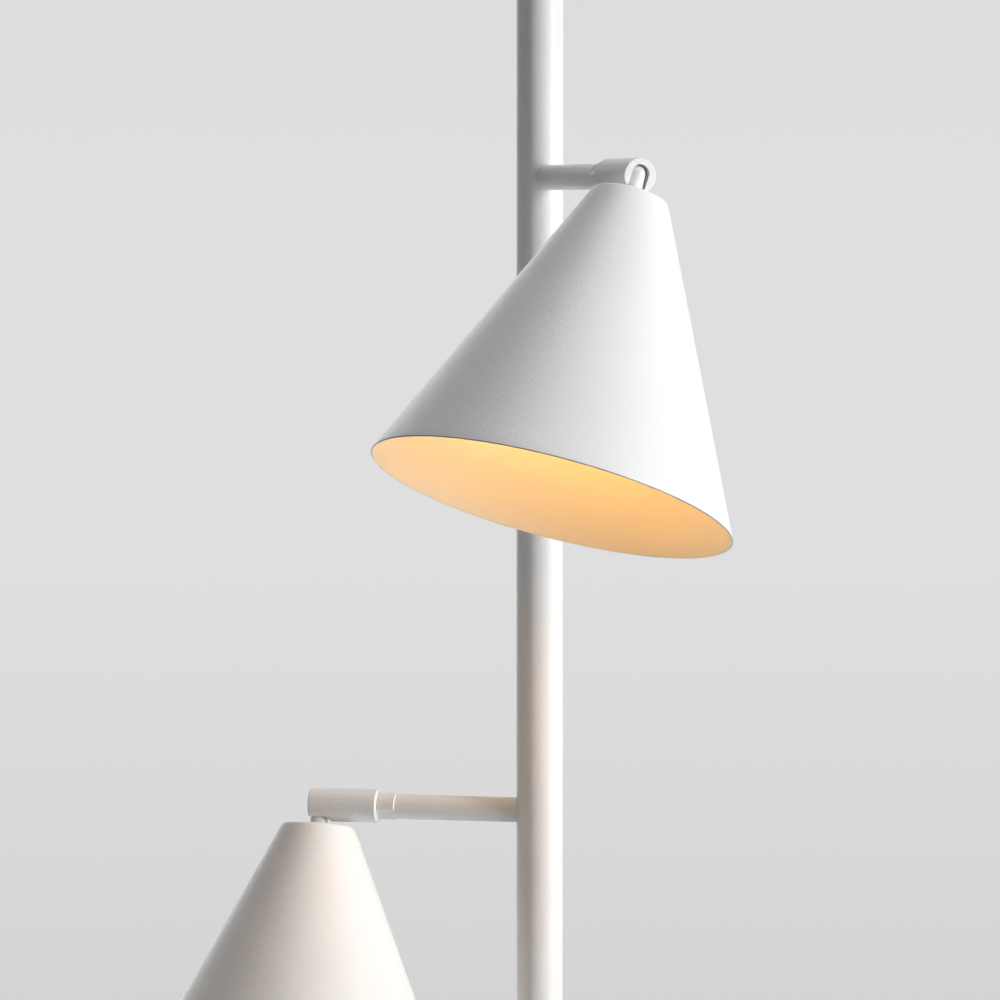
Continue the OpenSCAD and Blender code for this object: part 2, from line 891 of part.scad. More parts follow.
module lampholder(head) {
  r = holder_d / 2;
  floor_z = holder_z + holder_shoulder + holder_wall;
  inner_r = screw_shell_r + fit;
  tail_end = shade_drop + tail_len;
  color(phenolic)
    at_shade(head)
      difference() {
        rotate_extrude()
          polygon(concat(
            [[0, -holder_z], [holder_neck_r, -holder_z]],
            arc([r - holder_shoulder, -(holder_z + holder_shoulder + 1)], holder_shoulder, 90, 0),
            [[r, -holder_end_z], [0, -holder_end_z]]
          ));
        translate([0, 0, -holder_end_z - cut])
          cylinder(r = inner_r, h = holder_end_z + cut - floor_z - 1);
        translate([0, 0, -floor_z - 2]) cylinder(r = tail_d / 2 + fit, h = tail_end);
      }
}

// The threaded metal sleeve, with a contact plate across its inner end
module screw_shell(head) {
  plate_t = 1.2;
  plate_z = bulb_top_z - plate_t - 0.1;
  color(brass)
    at_shade(head)
      difference() {
        translate([0, 0, -holder_end_z + 2])
          cylinder(r = screw_shell_r, h = holder_end_z - 2 - plate_z);
        translate([0, 0, -holder_end_z])
          cylinder(r = screw_shell_r - screw_shell_wall, h = holder_end_z - plate_z - plate_t);
      }
}

module bulb_cap(head) {
  thread_turns = 6;
  thread_step = 3.2;
  r = bulb_cap_d / 2;
  groove = 0.8;
  contact_r = 5;
  color(steel)
    at_shade(head)
      rotate_extrude()
        polygon(concat(
          [[0, -bulb_top_z], [contact_r, -bulb_top_z], [r - 3, -bulb_cap_z]],
          [for (i = [0 : 2 * thread_turns])
            [i % 2 == 0 ? r - groove : r, -bulb_cap_z - 1 - i * thread_step / 2]],
          [[r - groove, -bulb_neck_z], [0, -bulb_neck_z]]
        ));
}

// Half of the bulb's section: a round end that runs into a straight taper to the neck
function bulb_line(inset) =
  let (
    r = bulb_d / 2 - inset,
    neck_r = bulb_neck_r - inset,
    rise = bulb_centre_z - bulb_neck_z,
    reach = norm([neck_r, rise]),
    tangent = 90 - atan2(neck_r, rise) - asin(r / reach) + 90
  )
  concat(
    [[neck_r, -bulb_neck_z]],
    arc([0, -bulb_centre_z], r, 180 - tangent, -90, 20)
  );

module bulb_glass(head) {
  outer = bulb_line(0);
  inner = bulb_line(bulb_wall);
  color("white")
    at_shade(head)
      rotate_extrude()
        polygon(concat(outer, [for (i = [len(inner) - 1 : -1 : 0]) inner[i]]));
}

// ---- the nodes of each head ----

module upper_arm_tube() { arm_tube(upper); }
module upper_collar() { collar(upper); }
module upper_arm_lead() {
  side = -arm_dir(lower_azimuth);
  top = junction_z + junction_h / 2;
  low = lower[0];
  arm_lead(upper, [
    2.5 * side + [0, 0, top],
    7.5 * side + [0, 0, low - 30],
    7.5 * side + [0, 0, low + 30],
    [0, 0, low + 70],
    on_arm(upper, 0, -20)
  ]);
}
module upper_barrel() { barrel(upper); }
module upper_pivot_pins() { pivot_pins(upper); }
module upper_barrel_lead() { barrel_lead(upper); }
module upper_knuckle() { knuckle(upper); }
module upper_shade() { shade(upper); }
module upper_shade_nut() { shade_nut(upper); }
module upper_lampholder() { lampholder(upper); }
module upper_screw_shell() { screw_shell(upper); }
module upper_bulb_cap() { bulb_cap(upper); }
module upper_bulb_glass() { bulb_glass(upper); }
module upper_stem_lead() { stem_lead(upper); }

module lower_arm_tube() { arm_tube(lower); }
module lower_collar() { collar(lower); }
module lower_arm_lead() {
  arm_lead(lower, [
    2.5 * arm_dir(lower_azimuth) + [0, 0, junction_z + junction_h / 2],
    on_arm(lower, 0, -30)
  ]);
}
module lower_barrel() { barrel(lower); }
module lower_pivot_pins() { pivot_pins(lower); }
module lower_barrel_lead() { barrel_lead(lower); }
module lower_knuckle() { knuckle(lower); }
module lower_shade() { shade(lower); }
module lower_shade_nut() { shade_nut(lower); }
module lower_lampholder() { lampholder(lower); }
module lower_screw_shell() { screw_shell(lower); }
module lower_bulb_cap() { bulb_cap(lower); }
module lower_bulb_glass() { bulb_glass(lower); }
module lower_stem_lead() { stem_lead(lower); }

floor_pad();
foot_cup();
foot_screw();
foot_plug();
lower_tube();
lower_coupling();
middle_tube();
upper_coupling();
upper_tube();
cord_grommet();
feed_lead();
junction_block();
clamp_collar();
clamp_screw();
extension_tube();
spring_seat();
guide_ring();
plunger_tube();
plunger_collar();
ceiling_cup();
ceiling_pad();
tension_spring();
arm_nipples();
arm_nuts();
arm_saddles();
arm_plugs();
swivel_studs();
swivel_nuts();
swivel_washers();
upper_arm_tube();
upper_collar();
upper_arm_lead();
upper_barrel();
upper_pivot_pins();
upper_barrel_lead();
upper_knuckle();
upper_shade();
upper_shade_nut();
upper_lampholder();
upper_screw_shell();
upper_bulb_cap();
upper_bulb_glass();
upper_stem_lead();
lower_arm_tube();
lower_collar();
lower_arm_lead();
lower_barrel();
lower_pivot_pins();
lower_barrel_lead();
lower_knuckle();
lower_shade();
lower_shade_nut();
lower_lampholder();
lower_screw_shell();
lower_bulb_cap();
lower_bulb_glass();
lower_stem_lead();
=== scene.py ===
# %% [markdown]
# # A tension pole lamp, dressed in Blender
#
# The lamp is a floor-to-ceiling tube with two short arms. Each arm ends in a swivel barrel, a
# domed knuckle and a cone shade. Its solids and joints come from CAD, and this lesson gives them
# their finishes, turns the thin and round pieces more finely, and lights the whole as in a photo
# studio.
#
# Everything is in metres and in the CAD's own frame, so a piece goes where the CAD says it is.

import json
import math

import bmesh
import bpy
from mathutils import Matrix, Vector


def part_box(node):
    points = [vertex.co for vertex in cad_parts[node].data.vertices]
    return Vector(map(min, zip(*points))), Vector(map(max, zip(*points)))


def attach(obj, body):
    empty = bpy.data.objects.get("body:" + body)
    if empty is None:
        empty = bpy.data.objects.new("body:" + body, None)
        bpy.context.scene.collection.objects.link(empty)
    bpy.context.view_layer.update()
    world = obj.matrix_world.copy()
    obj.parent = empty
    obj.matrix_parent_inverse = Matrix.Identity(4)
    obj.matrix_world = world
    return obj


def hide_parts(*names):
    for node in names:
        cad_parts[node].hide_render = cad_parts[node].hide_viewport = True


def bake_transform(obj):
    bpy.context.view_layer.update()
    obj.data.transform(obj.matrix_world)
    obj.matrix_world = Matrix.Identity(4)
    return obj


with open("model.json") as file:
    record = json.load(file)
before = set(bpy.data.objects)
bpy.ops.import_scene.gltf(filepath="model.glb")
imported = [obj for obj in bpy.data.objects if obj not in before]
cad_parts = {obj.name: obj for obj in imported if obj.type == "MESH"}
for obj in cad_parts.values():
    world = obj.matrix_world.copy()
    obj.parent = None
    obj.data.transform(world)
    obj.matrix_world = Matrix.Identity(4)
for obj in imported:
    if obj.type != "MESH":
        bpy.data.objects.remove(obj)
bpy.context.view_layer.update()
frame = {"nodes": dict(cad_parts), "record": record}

# %% [markdown]
# The real lamp's sizes are the ones that the CAD was drawn with. Those that place several pieces
# are written once here, and the others stand with their own piece below. So each finer piece
# lands exactly on the solid that it stands for.

# %% The lamp's own sizes, in metres
MM = 0.001
POLE_R = 14.0 * MM
INSTALLED_H = 2440.0 * MM
# A shade's pivot in its barrel's frame: so far out along the arm, and so far above its axis
PIVOT_S = 136.4 * MM
PIVOT_RISE = 1.1 * MM
# From the pivot down to the shade's flat top
SHADE_DROP = 13.6 * MM
# Height on the pole, and in degrees: direction of the arm, roll about it, tilt of the shade
HEADS = {
    "upper": dict(z=1750 * MM, azimuth=-66.7, roll=-19.8, tilt=8.4),
    "lower": dict(z=1370 * MM, azimuth=167.2, roll=12.2, tilt=2.1),
}


def barrel_matrix(head):
    """The frame of a barrel: x runs out along the arm, z up before the roll."""
    return (
        Matrix.Translation((0, 0, head["z"]))
        @ Matrix.Rotation(math.radians(head["azimuth"]), 4, "Z")
        @ Matrix.Rotation(math.radians(head["roll"]), 4, "X")
    )


def shade_matrix(head):
    """The frame of a shade: its origin is the pivot and its axis is -z."""
    return (
        barrel_matrix(head)
        @ Matrix.Translation((PIVOT_S, 0, PIVOT_RISE))
        @ Matrix.Rotation(math.radians(-head["tilt"]), 4, "Y")
    )


# %% [markdown]
# The camera comes first. The photograph was taken with a long lens from about the height of the
# upper arm, so the pole stays almost parallel-sided. A camera fit to ninety edges of the
# photograph gave this place, a pitch of 3.3 degrees down and a 174 mm lens on a 36 mm sensor.

# %% The camera
CAMERA_PLACE = (-0.0238, -2.8973, 1.7243)
CAMERA_PITCH = 3.302
CAMERA_LENS = 174.2
CAMERA_SENSOR = 36.0
# The camera sees nothing that is further away than this
CAMERA_REACH = 100.0


def add_object(name, data):
    """A new object in the scene, made from a mesh, a camera or a lamp."""
    item = bpy.data.objects.new(name, data)
    bpy.context.scene.collection.objects.link(item)
    return item


camera_data = bpy.data.cameras.new("camera")
camera_data.lens = CAMERA_LENS
camera_data.sensor_width = CAMERA_SENSOR
camera_data.clip_end = CAMERA_REACH
camera = add_object("camera", camera_data)
camera.location = CAMERA_PLACE
camera.rotation_euler = (math.radians(90 - CAMERA_PITCH), 0, 0)
bpy.context.scene.camera = camera
bpy.context.scene.view_settings.view_transform = "Standard"
print("camera at", CAMERA_PLACE)

# %% [markdown]
# Every finish is a small node tree around one Principled shader. Constant numbers are set
# straight on the shader. Only what varies over the surface is wired: a faint drift of colour, an
# uneven gloss, and a fine bump. The patterns read Object coordinates, so they stick to the piece.

# %% Helpers for materials
# Most of a noise pattern lies between these two values
PATTERN_LOW, PATTERN_HIGH = 0.3, 0.7


def new_material(name):
    """A bare material: one Principled shader, wired to the surface."""
    material = bpy.data.materials.new(name)
    material.use_nodes = True
    nodes = material.node_tree.nodes
    nodes.clear()
    output = nodes.new("ShaderNodeOutputMaterial")
    shader = nodes.new("ShaderNodeBsdfPrincipled")
    material.node_tree.links.new(shader.outputs["BSDF"], output.inputs["Surface"])
    return material, material.node_tree, shader


def noise(tree, scale, detail=2.0, stretch=None):
    """A noise pattern with so many features to the metre, stretched along an axis if asked."""
    place = tree.nodes.new("ShaderNodeTexCoord").outputs["Object"]
    if stretch:
        mapping = tree.nodes.new("ShaderNodeMapping")
        mapping.inputs["Scale"].default_value = stretch
        tree.links.new(place, mapping.inputs["Vector"])
        place = mapping.outputs["Vector"]
    texture = tree.nodes.new("ShaderNodeTexNoise")
    texture.inputs["Scale"].default_value = scale
    texture.inputs["Detail"].default_value = detail
    tree.links.new(place, texture.inputs["Vector"])
    return texture.outputs["Fac"]


def spread(tree, pattern, low, high):
    """Turns a pattern's middle range into numbers from low to high."""
    node = tree.nodes.new("ShaderNodeMapRange")
    node.inputs["From Min"].default_value = PATTERN_LOW
    node.inputs["From Max"].default_value = PATTERN_HIGH
    node.inputs["To Min"].default_value = low
    node.inputs["To Max"].default_value = high
    tree.links.new(pattern, node.inputs["Value"])
    return node.outputs["Result"]


def tint(tree, pattern, low, high):
    """Turns a pattern's middle range into colours from low to high."""
    node = tree.nodes.new("ShaderNodeValToRGB")
    node.color_ramp.elements[0].position = PATTERN_LOW
    node.color_ramp.elements[1].position = PATTERN_HIGH
    node.color_ramp.elements[0].color = (*low, 1)
    node.color_ramp.elements[1].color = (*high, 1)
    tree.links.new(pattern, node.inputs["Fac"])
    return node.outputs["Color"]


def bump(tree, shader, pattern, depth):
    """Lets a pattern stand out of the surface by depth, in metres."""
    node = tree.nodes.new("ShaderNodeBump")
    node.inputs["Strength"].default_value = 1.0
    node.inputs["Distance"].default_value = depth
    tree.links.new(pattern, node.inputs["Height"])
    tree.links.new(node.outputs["Normal"], shader.inputs["Normal"])


# %% [markdown]
# The lamp's coat is a satin white powder coat. Powder melts into a skin with a fine orange peel,
# about a millimetre across. In the photograph it is boldest on the barrels, plain to see outside
# on the shades, and hardly there on the drawn tubes and inside the shades. So one recipe makes
# four coats, each with its own depth. The inside coat is also tinted cream, which paints in the
# warm glow of the lit bulb. A fifth, dark coat is painted shade on the outer quarter of each
# shade's rim, where the rounded lip turns down out of the light, so it shows as a fine dark line.

# %% Powder coat
COAT_LOW = (0.80, 0.80, 0.797)
COAT_HIGH = (0.83, 0.83, 0.828)
COAT_DRIFT = 14
COAT_PEEL = 900
GRAIN_DETAIL = 3.0
COAT_GLOSS_DRIFT = 0.04
COAT_SPECULAR = 0.4


def powder_coat(name, roughness, depth, low=COAT_LOW, high=COAT_HIGH):
    """A powder coat, with an orange peel of this depth and colours from low to high."""
    material, tree, shader = new_material(name)
    colour = tint(tree, noise(tree, COAT_DRIFT), low, high)
    tree.links.new(colour, shader.inputs["Base Color"])
    peel = noise(tree, COAT_PEEL, GRAIN_DETAIL)
    gloss = spread(tree, peel, roughness - COAT_GLOSS_DRIFT, roughness + COAT_GLOSS_DRIFT)
    tree.links.new(gloss, shader.inputs["Roughness"])
    shader.inputs["Specular IOR Level"].default_value = COAT_SPECULAR
    bump(tree, shader, peel, depth)
    return material


tube_coat = powder_coat("smooth powder coat", roughness=0.42, depth=0.10 * MM)
coat = powder_coat("grained powder coat", roughness=0.42, depth=0.19 * MM)
cast_coat = powder_coat("powder coat on castings", roughness=0.42, depth=0.42 * MM)
# The lining's fine peel is the real, smoother coat; its cream tint is painted light, the warm glow
# of the lit bulb inside the shade
lining_coat_with_painted_glow = powder_coat(
    "shade lining with painted glow",
    roughness=0.5,
    depth=0.03 * MM,
    low=(0.81, 0.775, 0.655),
    high=(0.84, 0.805, 0.685),
)
# Painted shade: a dark coat for the outer quarter of each shade's rim lip, where it turns down out
# of the light
rim_painted_shade_coat = powder_coat(
    "rim in painted shade",
    roughness=0.45,
    depth=0.05 * MM,
    low=(0.26, 0.24, 0.215),
    high=(0.35, 0.33, 0.3),
)
print("coats:", [m.name for m in (tube_coat, coat, cast_coat, lining_coat_with_painted_glow, rim_painted_shade_coat)])

# %% [markdown]
# The rest of the finishes are plain metals, rubber and plastics. They are mostly inside the lamp,
# and each still gets its grain: brushing along the steel, a dull bloom on the rubber.

# %% Metals, rubber and plastics
COLOUR_DRIFT = 30


def finish_of(name, low, high, gloss, grain, depth, metallic=0.0, stretch=None):
    """A finish with a drift of colour from low to high, an uneven gloss and a grain."""
    material, tree, shader = new_material(name)
    colour = tint(tree, noise(tree, COLOUR_DRIFT), low, high)
    tree.links.new(colour, shader.inputs["Base Color"])
    grain_pattern = noise(tree, grain, GRAIN_DETAIL, stretch)
    tree.links.new(spread(tree, grain_pattern, *gloss), shader.inputs["Roughness"])
    shader.inputs["Metallic"].default_value = metallic
    bump(tree, shader, grain_pattern, depth)
    return material


steel = finish_of(
    "zinc plated steel",
    low=(0.52, 0.52, 0.53),
    high=(0.62, 0.62, 0.62),
    gloss=(0.28, 0.42),
    grain=900,
    depth=0.02 * MM,
    metallic=1.0,
    stretch=(1, 1, 0.1),
)
brass = finish_of(
    "turned brass",
    low=(0.62, 0.42, 0.16),
    high=(0.72, 0.52, 0.24),
    gloss=(0.25, 0.38),
    grain=1200,
    depth=0.02 * MM,
    metallic=1.0,
)
rubber = finish_of(
    "black rubber",
    low=(0.018, 0.018, 0.018),
    high=(0.03, 0.03, 0.03),
    gloss=(0.7, 0.9),
    grain=700,
    depth=0.08 * MM,
)
nylon = finish_of(
    "white nylon",
    low=(0.74, 0.73, 0.70),
    high=(0.8, 0.79, 0.76),
    gloss=(0.3, 0.42),
    grain=500,
    depth=0.03 * MM,
)
sheath = finish_of(
    "lead sheath",
    low=(0.72, 0.71, 0.68),
    high=(0.78, 0.77, 0.74),
    gloss=(0.4, 0.55),
    grain=800,
    depth=0.04 * MM,
)
phenolic = finish_of(
    "black phenolic",
    low=(0.012, 0.011, 0.010),
    high=(0.022, 0.02, 0.019),
    gloss=(0.22, 0.34),
    grain=600,
    depth=0.03 * MM,
)
cap_metal = finish_of(
    "rolled screw cap",
    low=(0.66, 0.65, 0.62),
    high=(0.76, 0.75, 0.72),
    gloss=(0.2, 0.32),
    grain=900,
    depth=0.02 * MM,
    metallic=1.0,
)
plain_finishes = (steel, brass, rubber, nylon, sheath, phenolic, cap_metal)
print("plain finishes:", [m.name for m in plain_finishes])

# %% [markdown]
# Both lamps are lit in the photograph: their linings glow yellow and the pole below the upper
# shade is warm. A frosted bulb could hold a small lamp, but then the glass itself would stay
# dark. So the glass is the light: one warm colour all over it, with cloudy frosting under it.

# %% Lit bulb glass
FROST_DRIFT = 60
FROST_LOW, FROST_HIGH = (0.88, 0.84, 0.76), (0.94, 0.9, 0.84)
FROST_GLOSS = (0.5, 0.6)


def lit_glass(name, colour, strength):
    """Frosted glass that glows evenly, cloudy in its colour and gloss."""
    material, tree, shader = new_material(name)
    cloud = noise(tree, FROST_DRIFT)
    frost = tint(tree, cloud, FROST_LOW, FROST_HIGH)
    tree.links.new(frost, shader.inputs["Base Color"])
    tree.links.new(spread(tree, cloud, *FROST_GLOSS), shader.inputs["Roughness"])
    shader.inputs["Emission Color"].default_value = (*colour, 1)
    shader.inputs["Emission Strength"].default_value = strength
    return material


bulb_glass = lit_glass("lit frosted glass", colour=(1.0, 0.455, 0.03), strength=9.0)
print("lit:", bulb_glass.name)

# %% [markdown]
# The CAD gives each piece a slot, the name of what it is made of. Each slot has one finish here,
# but the coat is smoother on drawn tubes and coarser on the cast barrels.

# %% Give the CAD nodes their finishes
FINISH_OF_SLOT = {
    "coat": coat,
    "steel": steel,
    "brass": brass,
    "rubber": rubber,
    "plastic": nylon,
    "lead": sheath,
    "lampholder": phenolic,
    "bulb_cap": cap_metal,
    "bulb_glass": bulb_glass,
}
for part in frame["record"]["subparts"]:
    name, slot = part["node"], part["material_slot"]
    finish = FINISH_OF_SLOT[slot]
    if slot == "coat" and name.endswith("tube"):
        finish = tube_coat
    elif slot == "coat" and name.endswith("barrel"):
        finish = cast_coat
    node = frame["nodes"][name]
    node.data.materials.clear()
    node.data.materials.append(finish)
print("finished CAD nodes:", len(frame["nodes"]))

# %% [markdown]
# Most of the finer pieces are turned: shades, bulbs, pads and cups all follow one rule, a section
# swept round an axis. One Geometry Nodes tree does that. The section is drawn as a line of
# points, and the tree sweeps it round a circle, welds the seam on the axis and sets the finish.

# %% Helpers for Geometry Nodes
SHAPE, FINISH = "NodeSocketGeometry", "NodeSocketMaterial"
COUNT, NUMBER = "NodeSocketInt", "NodeSocketFloat"


def new_tree(name, inputs):
    """A tree with these inputs, each with its kind and default, and one output, the piece."""
    tree = bpy.data.node_groups.new(name, "GeometryNodeTree")
    sockets = {}
    for title, (kind, default) in inputs.items():
        socket = tree.interface.new_socket(name=title, in_out="INPUT", socket_type=kind)
        if default is not None:
            socket.default_value = default
        sockets[title] = socket.identifier
    tree.interface.new_socket(name="Piece", in_out="OUTPUT", socket_type=SHAPE)
    return tree, sockets


def end_tree(tree, shape, finish):
    """Ends a tree: the shape becomes real faces, takes the finish and leaves as the piece."""
    realize = tree.nodes.new("GeometryNodeRealizeInstances")
    paint = tree.nodes.new("GeometryNodeSetMaterial")
    end = tree.nodes.new("NodeGroupOutput")
    tree.links.new(shape, realize.inputs["Geometry"])
    tree.links.new(realize.outputs["Geometry"], paint.inputs["Geometry"])
    tree.links.new(finish, paint.inputs["Material"])
    tree.links.new(paint.outputs["Geometry"], end.inputs["Piece"])


def use_tree(host, tree, sockets, values):
    """Puts a tree on an object and sets the inputs that are named in values."""
    modifier = host.modifiers.new(tree.name, "NODES")
    modifier.node_group = tree
    for title, value in values.items():
        modifier[sockets[title]] = value


# %% The lathe tree
# A section is drawn this far inside the circle that it is swept round
LATHE_R = 0.5
WELD_GAP = 0.002 * MM


def lathe_tree():
    """The tree that sweeps a section round an axis."""
    tree, sockets = new_tree(
        "turned on a lathe",
        {"Section": (SHAPE, None), "Sides": (COUNT, 96), "Finish": (FINISH, None)},
    )
    new, link = tree.nodes.new, tree.links.new
    value = new("NodeGroupInput").outputs
    section = new("GeometryNodeMeshToCurve")
    circle = new("GeometryNodeCurvePrimitiveCircle")
    circle.inputs["Radius"].default_value = LATHE_R
    normals = new("GeometryNodeSetCurveNormal")
    normals.mode = "Z_UP"
    sweep = new("GeometryNodeCurveToMesh")
    weld = new("GeometryNodeMergeByDistance")
    weld.inputs["Distance"].default_value = WELD_GAP
    smooth = new("GeometryNodeSetShadeSmooth")
    link(value["Section"], section.inputs["Mesh"])
    link(value["Sides"], circle.inputs["Resolution"])
    link(circle.outputs["Curve"], normals.inputs["Curve"])
    link(normals.outputs["Curve"], sweep.inputs["Curve"])
    link(section.outputs["Curve"], sweep.inputs["Profile Curve"])
    link(sweep.outputs["Mesh"], weld.inputs["Geometry"])
    link(weld.outputs["Geometry"], smooth.inputs["Geometry"])
    end_tree(tree, smooth.outputs["Geometry"], value["Finish"])
    return tree, sockets


LATHE = lathe_tree()
print("tree:", LATHE[0].name, "with inputs", list(LATHE[1]))

# %% Helpers for turned pieces
SHARP_ANGLE = 35


def plain_mesh(source, name):
    """The evaluated result of a piece's nodes, as a mesh object of its own."""
    bpy.context.view_layer.update()
    graph = bpy.context.evaluated_depsgraph_get()
    mesh = bpy.data.meshes.new_from_object(source.evaluated_get(graph))
    bpy.data.objects.remove(source)
    mesh.name = name
    return add_object(name, mesh)


def settle(piece, place):
    """Puts a piece's place in its mesh, turns its faces outwards and marks its sharp edges."""
    piece.data.transform(place)
    shape = bmesh.new()
    shape.from_mesh(piece.data)
    bmesh.ops.recalc_face_normals(shape, faces=shape.faces)
    shape.to_mesh(piece.data)
    shape.free()
    piece.data.set_sharp_from_angle(angle=math.radians(SHARP_ANGLE))
    return piece


def turned(name, section, sides, finish, place, cuts=None):
    """Turns a section, a list of (radius, height), round the z axis of place, and may cut it."""
    mesh = bpy.data.meshes.new(name + "_section")
    points = [(r - LATHE_R, -h, 0.0) for r, h in section]
    edges = [(i, (i + 1) % len(points)) for i in range(len(points))]
    mesh.from_pydata(points, edges, [])
    source = add_object(name + "_section", mesh)
    use_tree(source, *LATHE, {"Sides": sides, "Finish": finish})
    if cuts:
        use_tree(source, *CUTTING, {"Finish": finish, **cuts})
    return settle(plain_mesh(source, name), place)


def arc(centre, radius, start, end, steps):
    """Points on an arc of a section, from one angle to another, in degrees."""
    turns = [math.radians(start + (end - start) * i / steps) for i in range(steps + 1)]
    return [(centre[0] + radius * math.cos(t), centre[1] + radius * math.sin(t)) for t in turns]


# %% [markdown]
# Each shade is a spun cone of 1 mm sheet with a flat top and a softly rounded top edge. The CAD
# solid has the same form with a plain cut rim. Here the section ends in a half round, as a filed
# and painted rim does. A whole shade could have one finish, but its inside is smoother and tinted
# cream, a painted warm glow of the lit bulb, and the outer quarter of its rim is painted dark, as
# shade where the lip turns down from the light. So its faces are sorted by where they look.

# %% The section of a shade
SHADE_TOP_R = 43.7 / 2 * MM
SHADE_RIM_R = 210.8 / 2 * MM
SHADE_H = 183.0 * MM
SHADE_WALL = 1.0 * MM
SHADE_EDGE_R = 3.0 * MM
SHADE_HOLE_R = 3.2 * MM
SHADE_SIDES = 192
SHADE_ROWS = 24
EDGE_STEPS = 10
LIP_STEPS = 12
# Between the shade's axis and its side, in degrees
HALF_ANGLE = math.degrees(math.atan((SHADE_RIM_R - SHADE_TOP_R) / SHADE_H))


def shade_line(inset):
    """Half of the shade's section, from its flat top round the edge to the rim."""
    slope = math.radians(HALF_ANGLE)
    top = SHADE_DROP + inset
    edge_r = SHADE_EDGE_R - inset
    shift = inset / math.cos(slope)
    top_r = SHADE_TOP_R - shift + inset * math.tan(slope)
    edge_in = edge_r * math.tan(math.radians(90 - HALF_ANGLE) / 2)
    line = arc((top_r - edge_in, -(top + edge_r)), edge_r, 90, HALF_ANGLE, EDGE_STEPS)
    last = line[-1]
    rim = (SHADE_RIM_R - shift, -(SHADE_DROP + SHADE_H))
    for i in range(1, SHADE_ROWS + 1):
        share = i / SHADE_ROWS
        line.append((last[0] + (rim[0] - last[0]) * share, last[1] + (rim[1] - last[1]) * share))
    return line


def shade_section():
    """The whole section: down the outside, round the lip of the rim and up the inside."""
    outer, inner = shade_line(0), shade_line(SHADE_WALL)
    rim_out, rim_in = outer.pop(), inner.pop()
    slope = math.radians(HALF_ANGLE)
    lip_r = SHADE_WALL / 2
    centre = (
        (rim_out[0] + rim_in[0]) / 2 - lip_r * math.sin(slope),
        (rim_out[1] + rim_in[1]) / 2 + lip_r * math.cos(slope),
    )
    lip = arc(centre, lip_r, HALF_ANGLE, HALF_ANGLE - 180, LIP_STEPS)
    top = -SHADE_DROP
    hole_out, hole_in = (SHADE_HOLE_R, top), (SHADE_HOLE_R, top - SHADE_WALL)
    return [hole_out] + outer + lip + inner[::-1] + [hole_in]


# %% Shades
# How far a face looks away from the axis (1 is straight out), or up: limits of the finishes
RIM_SHADE_OUTWARDS = 0.4
LINING_OUTWARDS = 0.3
LINING_UPWARDS = 0.5
OUTSIDE, LINING, RIM_PAINTED_SHADE = range(3)


def finish_shade(shade, place):
    """Gives a shade its cream lining, a painted glow, and painted shade on the outer quarter of
    its rim.
    """
    shade.data.materials.append(lining_coat_with_painted_glow)
    shade.data.materials.append(rim_painted_shade_coat)
    back = place.inverted()
    rim_z = -(SHADE_DROP + SHADE_H) + SHADE_WALL / 2
    for face in shade.data.polygons:
        at, way = back @ face.center, back.to_3x3() @ face.normal
        outwards = (at.x * way.x + at.y * way.y) / math.hypot(at.x, at.y)
        # The outer quarter of the rim's lip is painted dark, as shade where it turns down from the
        # light
        if at.z < rim_z and outwards > RIM_SHADE_OUTWARDS:
            face.material_index = RIM_PAINTED_SHADE
        elif outwards < LINING_OUTWARDS and way.z < LINING_UPWARDS:
            face.material_index = LINING
    kinds = [face.material_index for face in shade.data.polygons]
    counts = [kinds.count(kind) for kind in (OUTSIDE, LINING, RIM_PAINTED_SHADE)]
    print(shade.name, "faces outside, inside and in painted shade at the rim:", counts)


for name, head in HEADS.items():
    place = shade_matrix(head)
    shade = turned(f"{name}_spun_shade", shade_section(), SHADE_SIDES, coat, place)
    finish_shade(shade, place)
    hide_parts(f"{name}_shade")
    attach(shade, f"{name}_shade")
    print(shade.name, len(shade.data.polygons), "faces")

# %% [markdown]
# Some turned pieces then get a pattern that runs round them: ribs to grip, or a screw's thread.
# On the real lamp the clamp screw's ribs are knurled, the lampholders' are moulded and the bulb
# caps' threads are rolled. A second tree does them all. It pushes the outer surface inwards by a
# wave that depends on the angle and, for a thread, also on the height, so that the wave climbs by
# one pitch a turn.


# %% The rib and thread tree
def calculator(tree):
    """A function that adds Math nodes to a tree. Their inputs are numbers or other outputs."""

    def calc(operation, *values):
        node = tree.nodes.new("ShaderNodeMath")
        node.operation = operation
        for socket, value in zip(node.inputs, values):
            if isinstance(value, (int, float)):
                socket.default_value = value
            else:
                tree.links.new(value, socket)
        return node.outputs[0]

    return calc


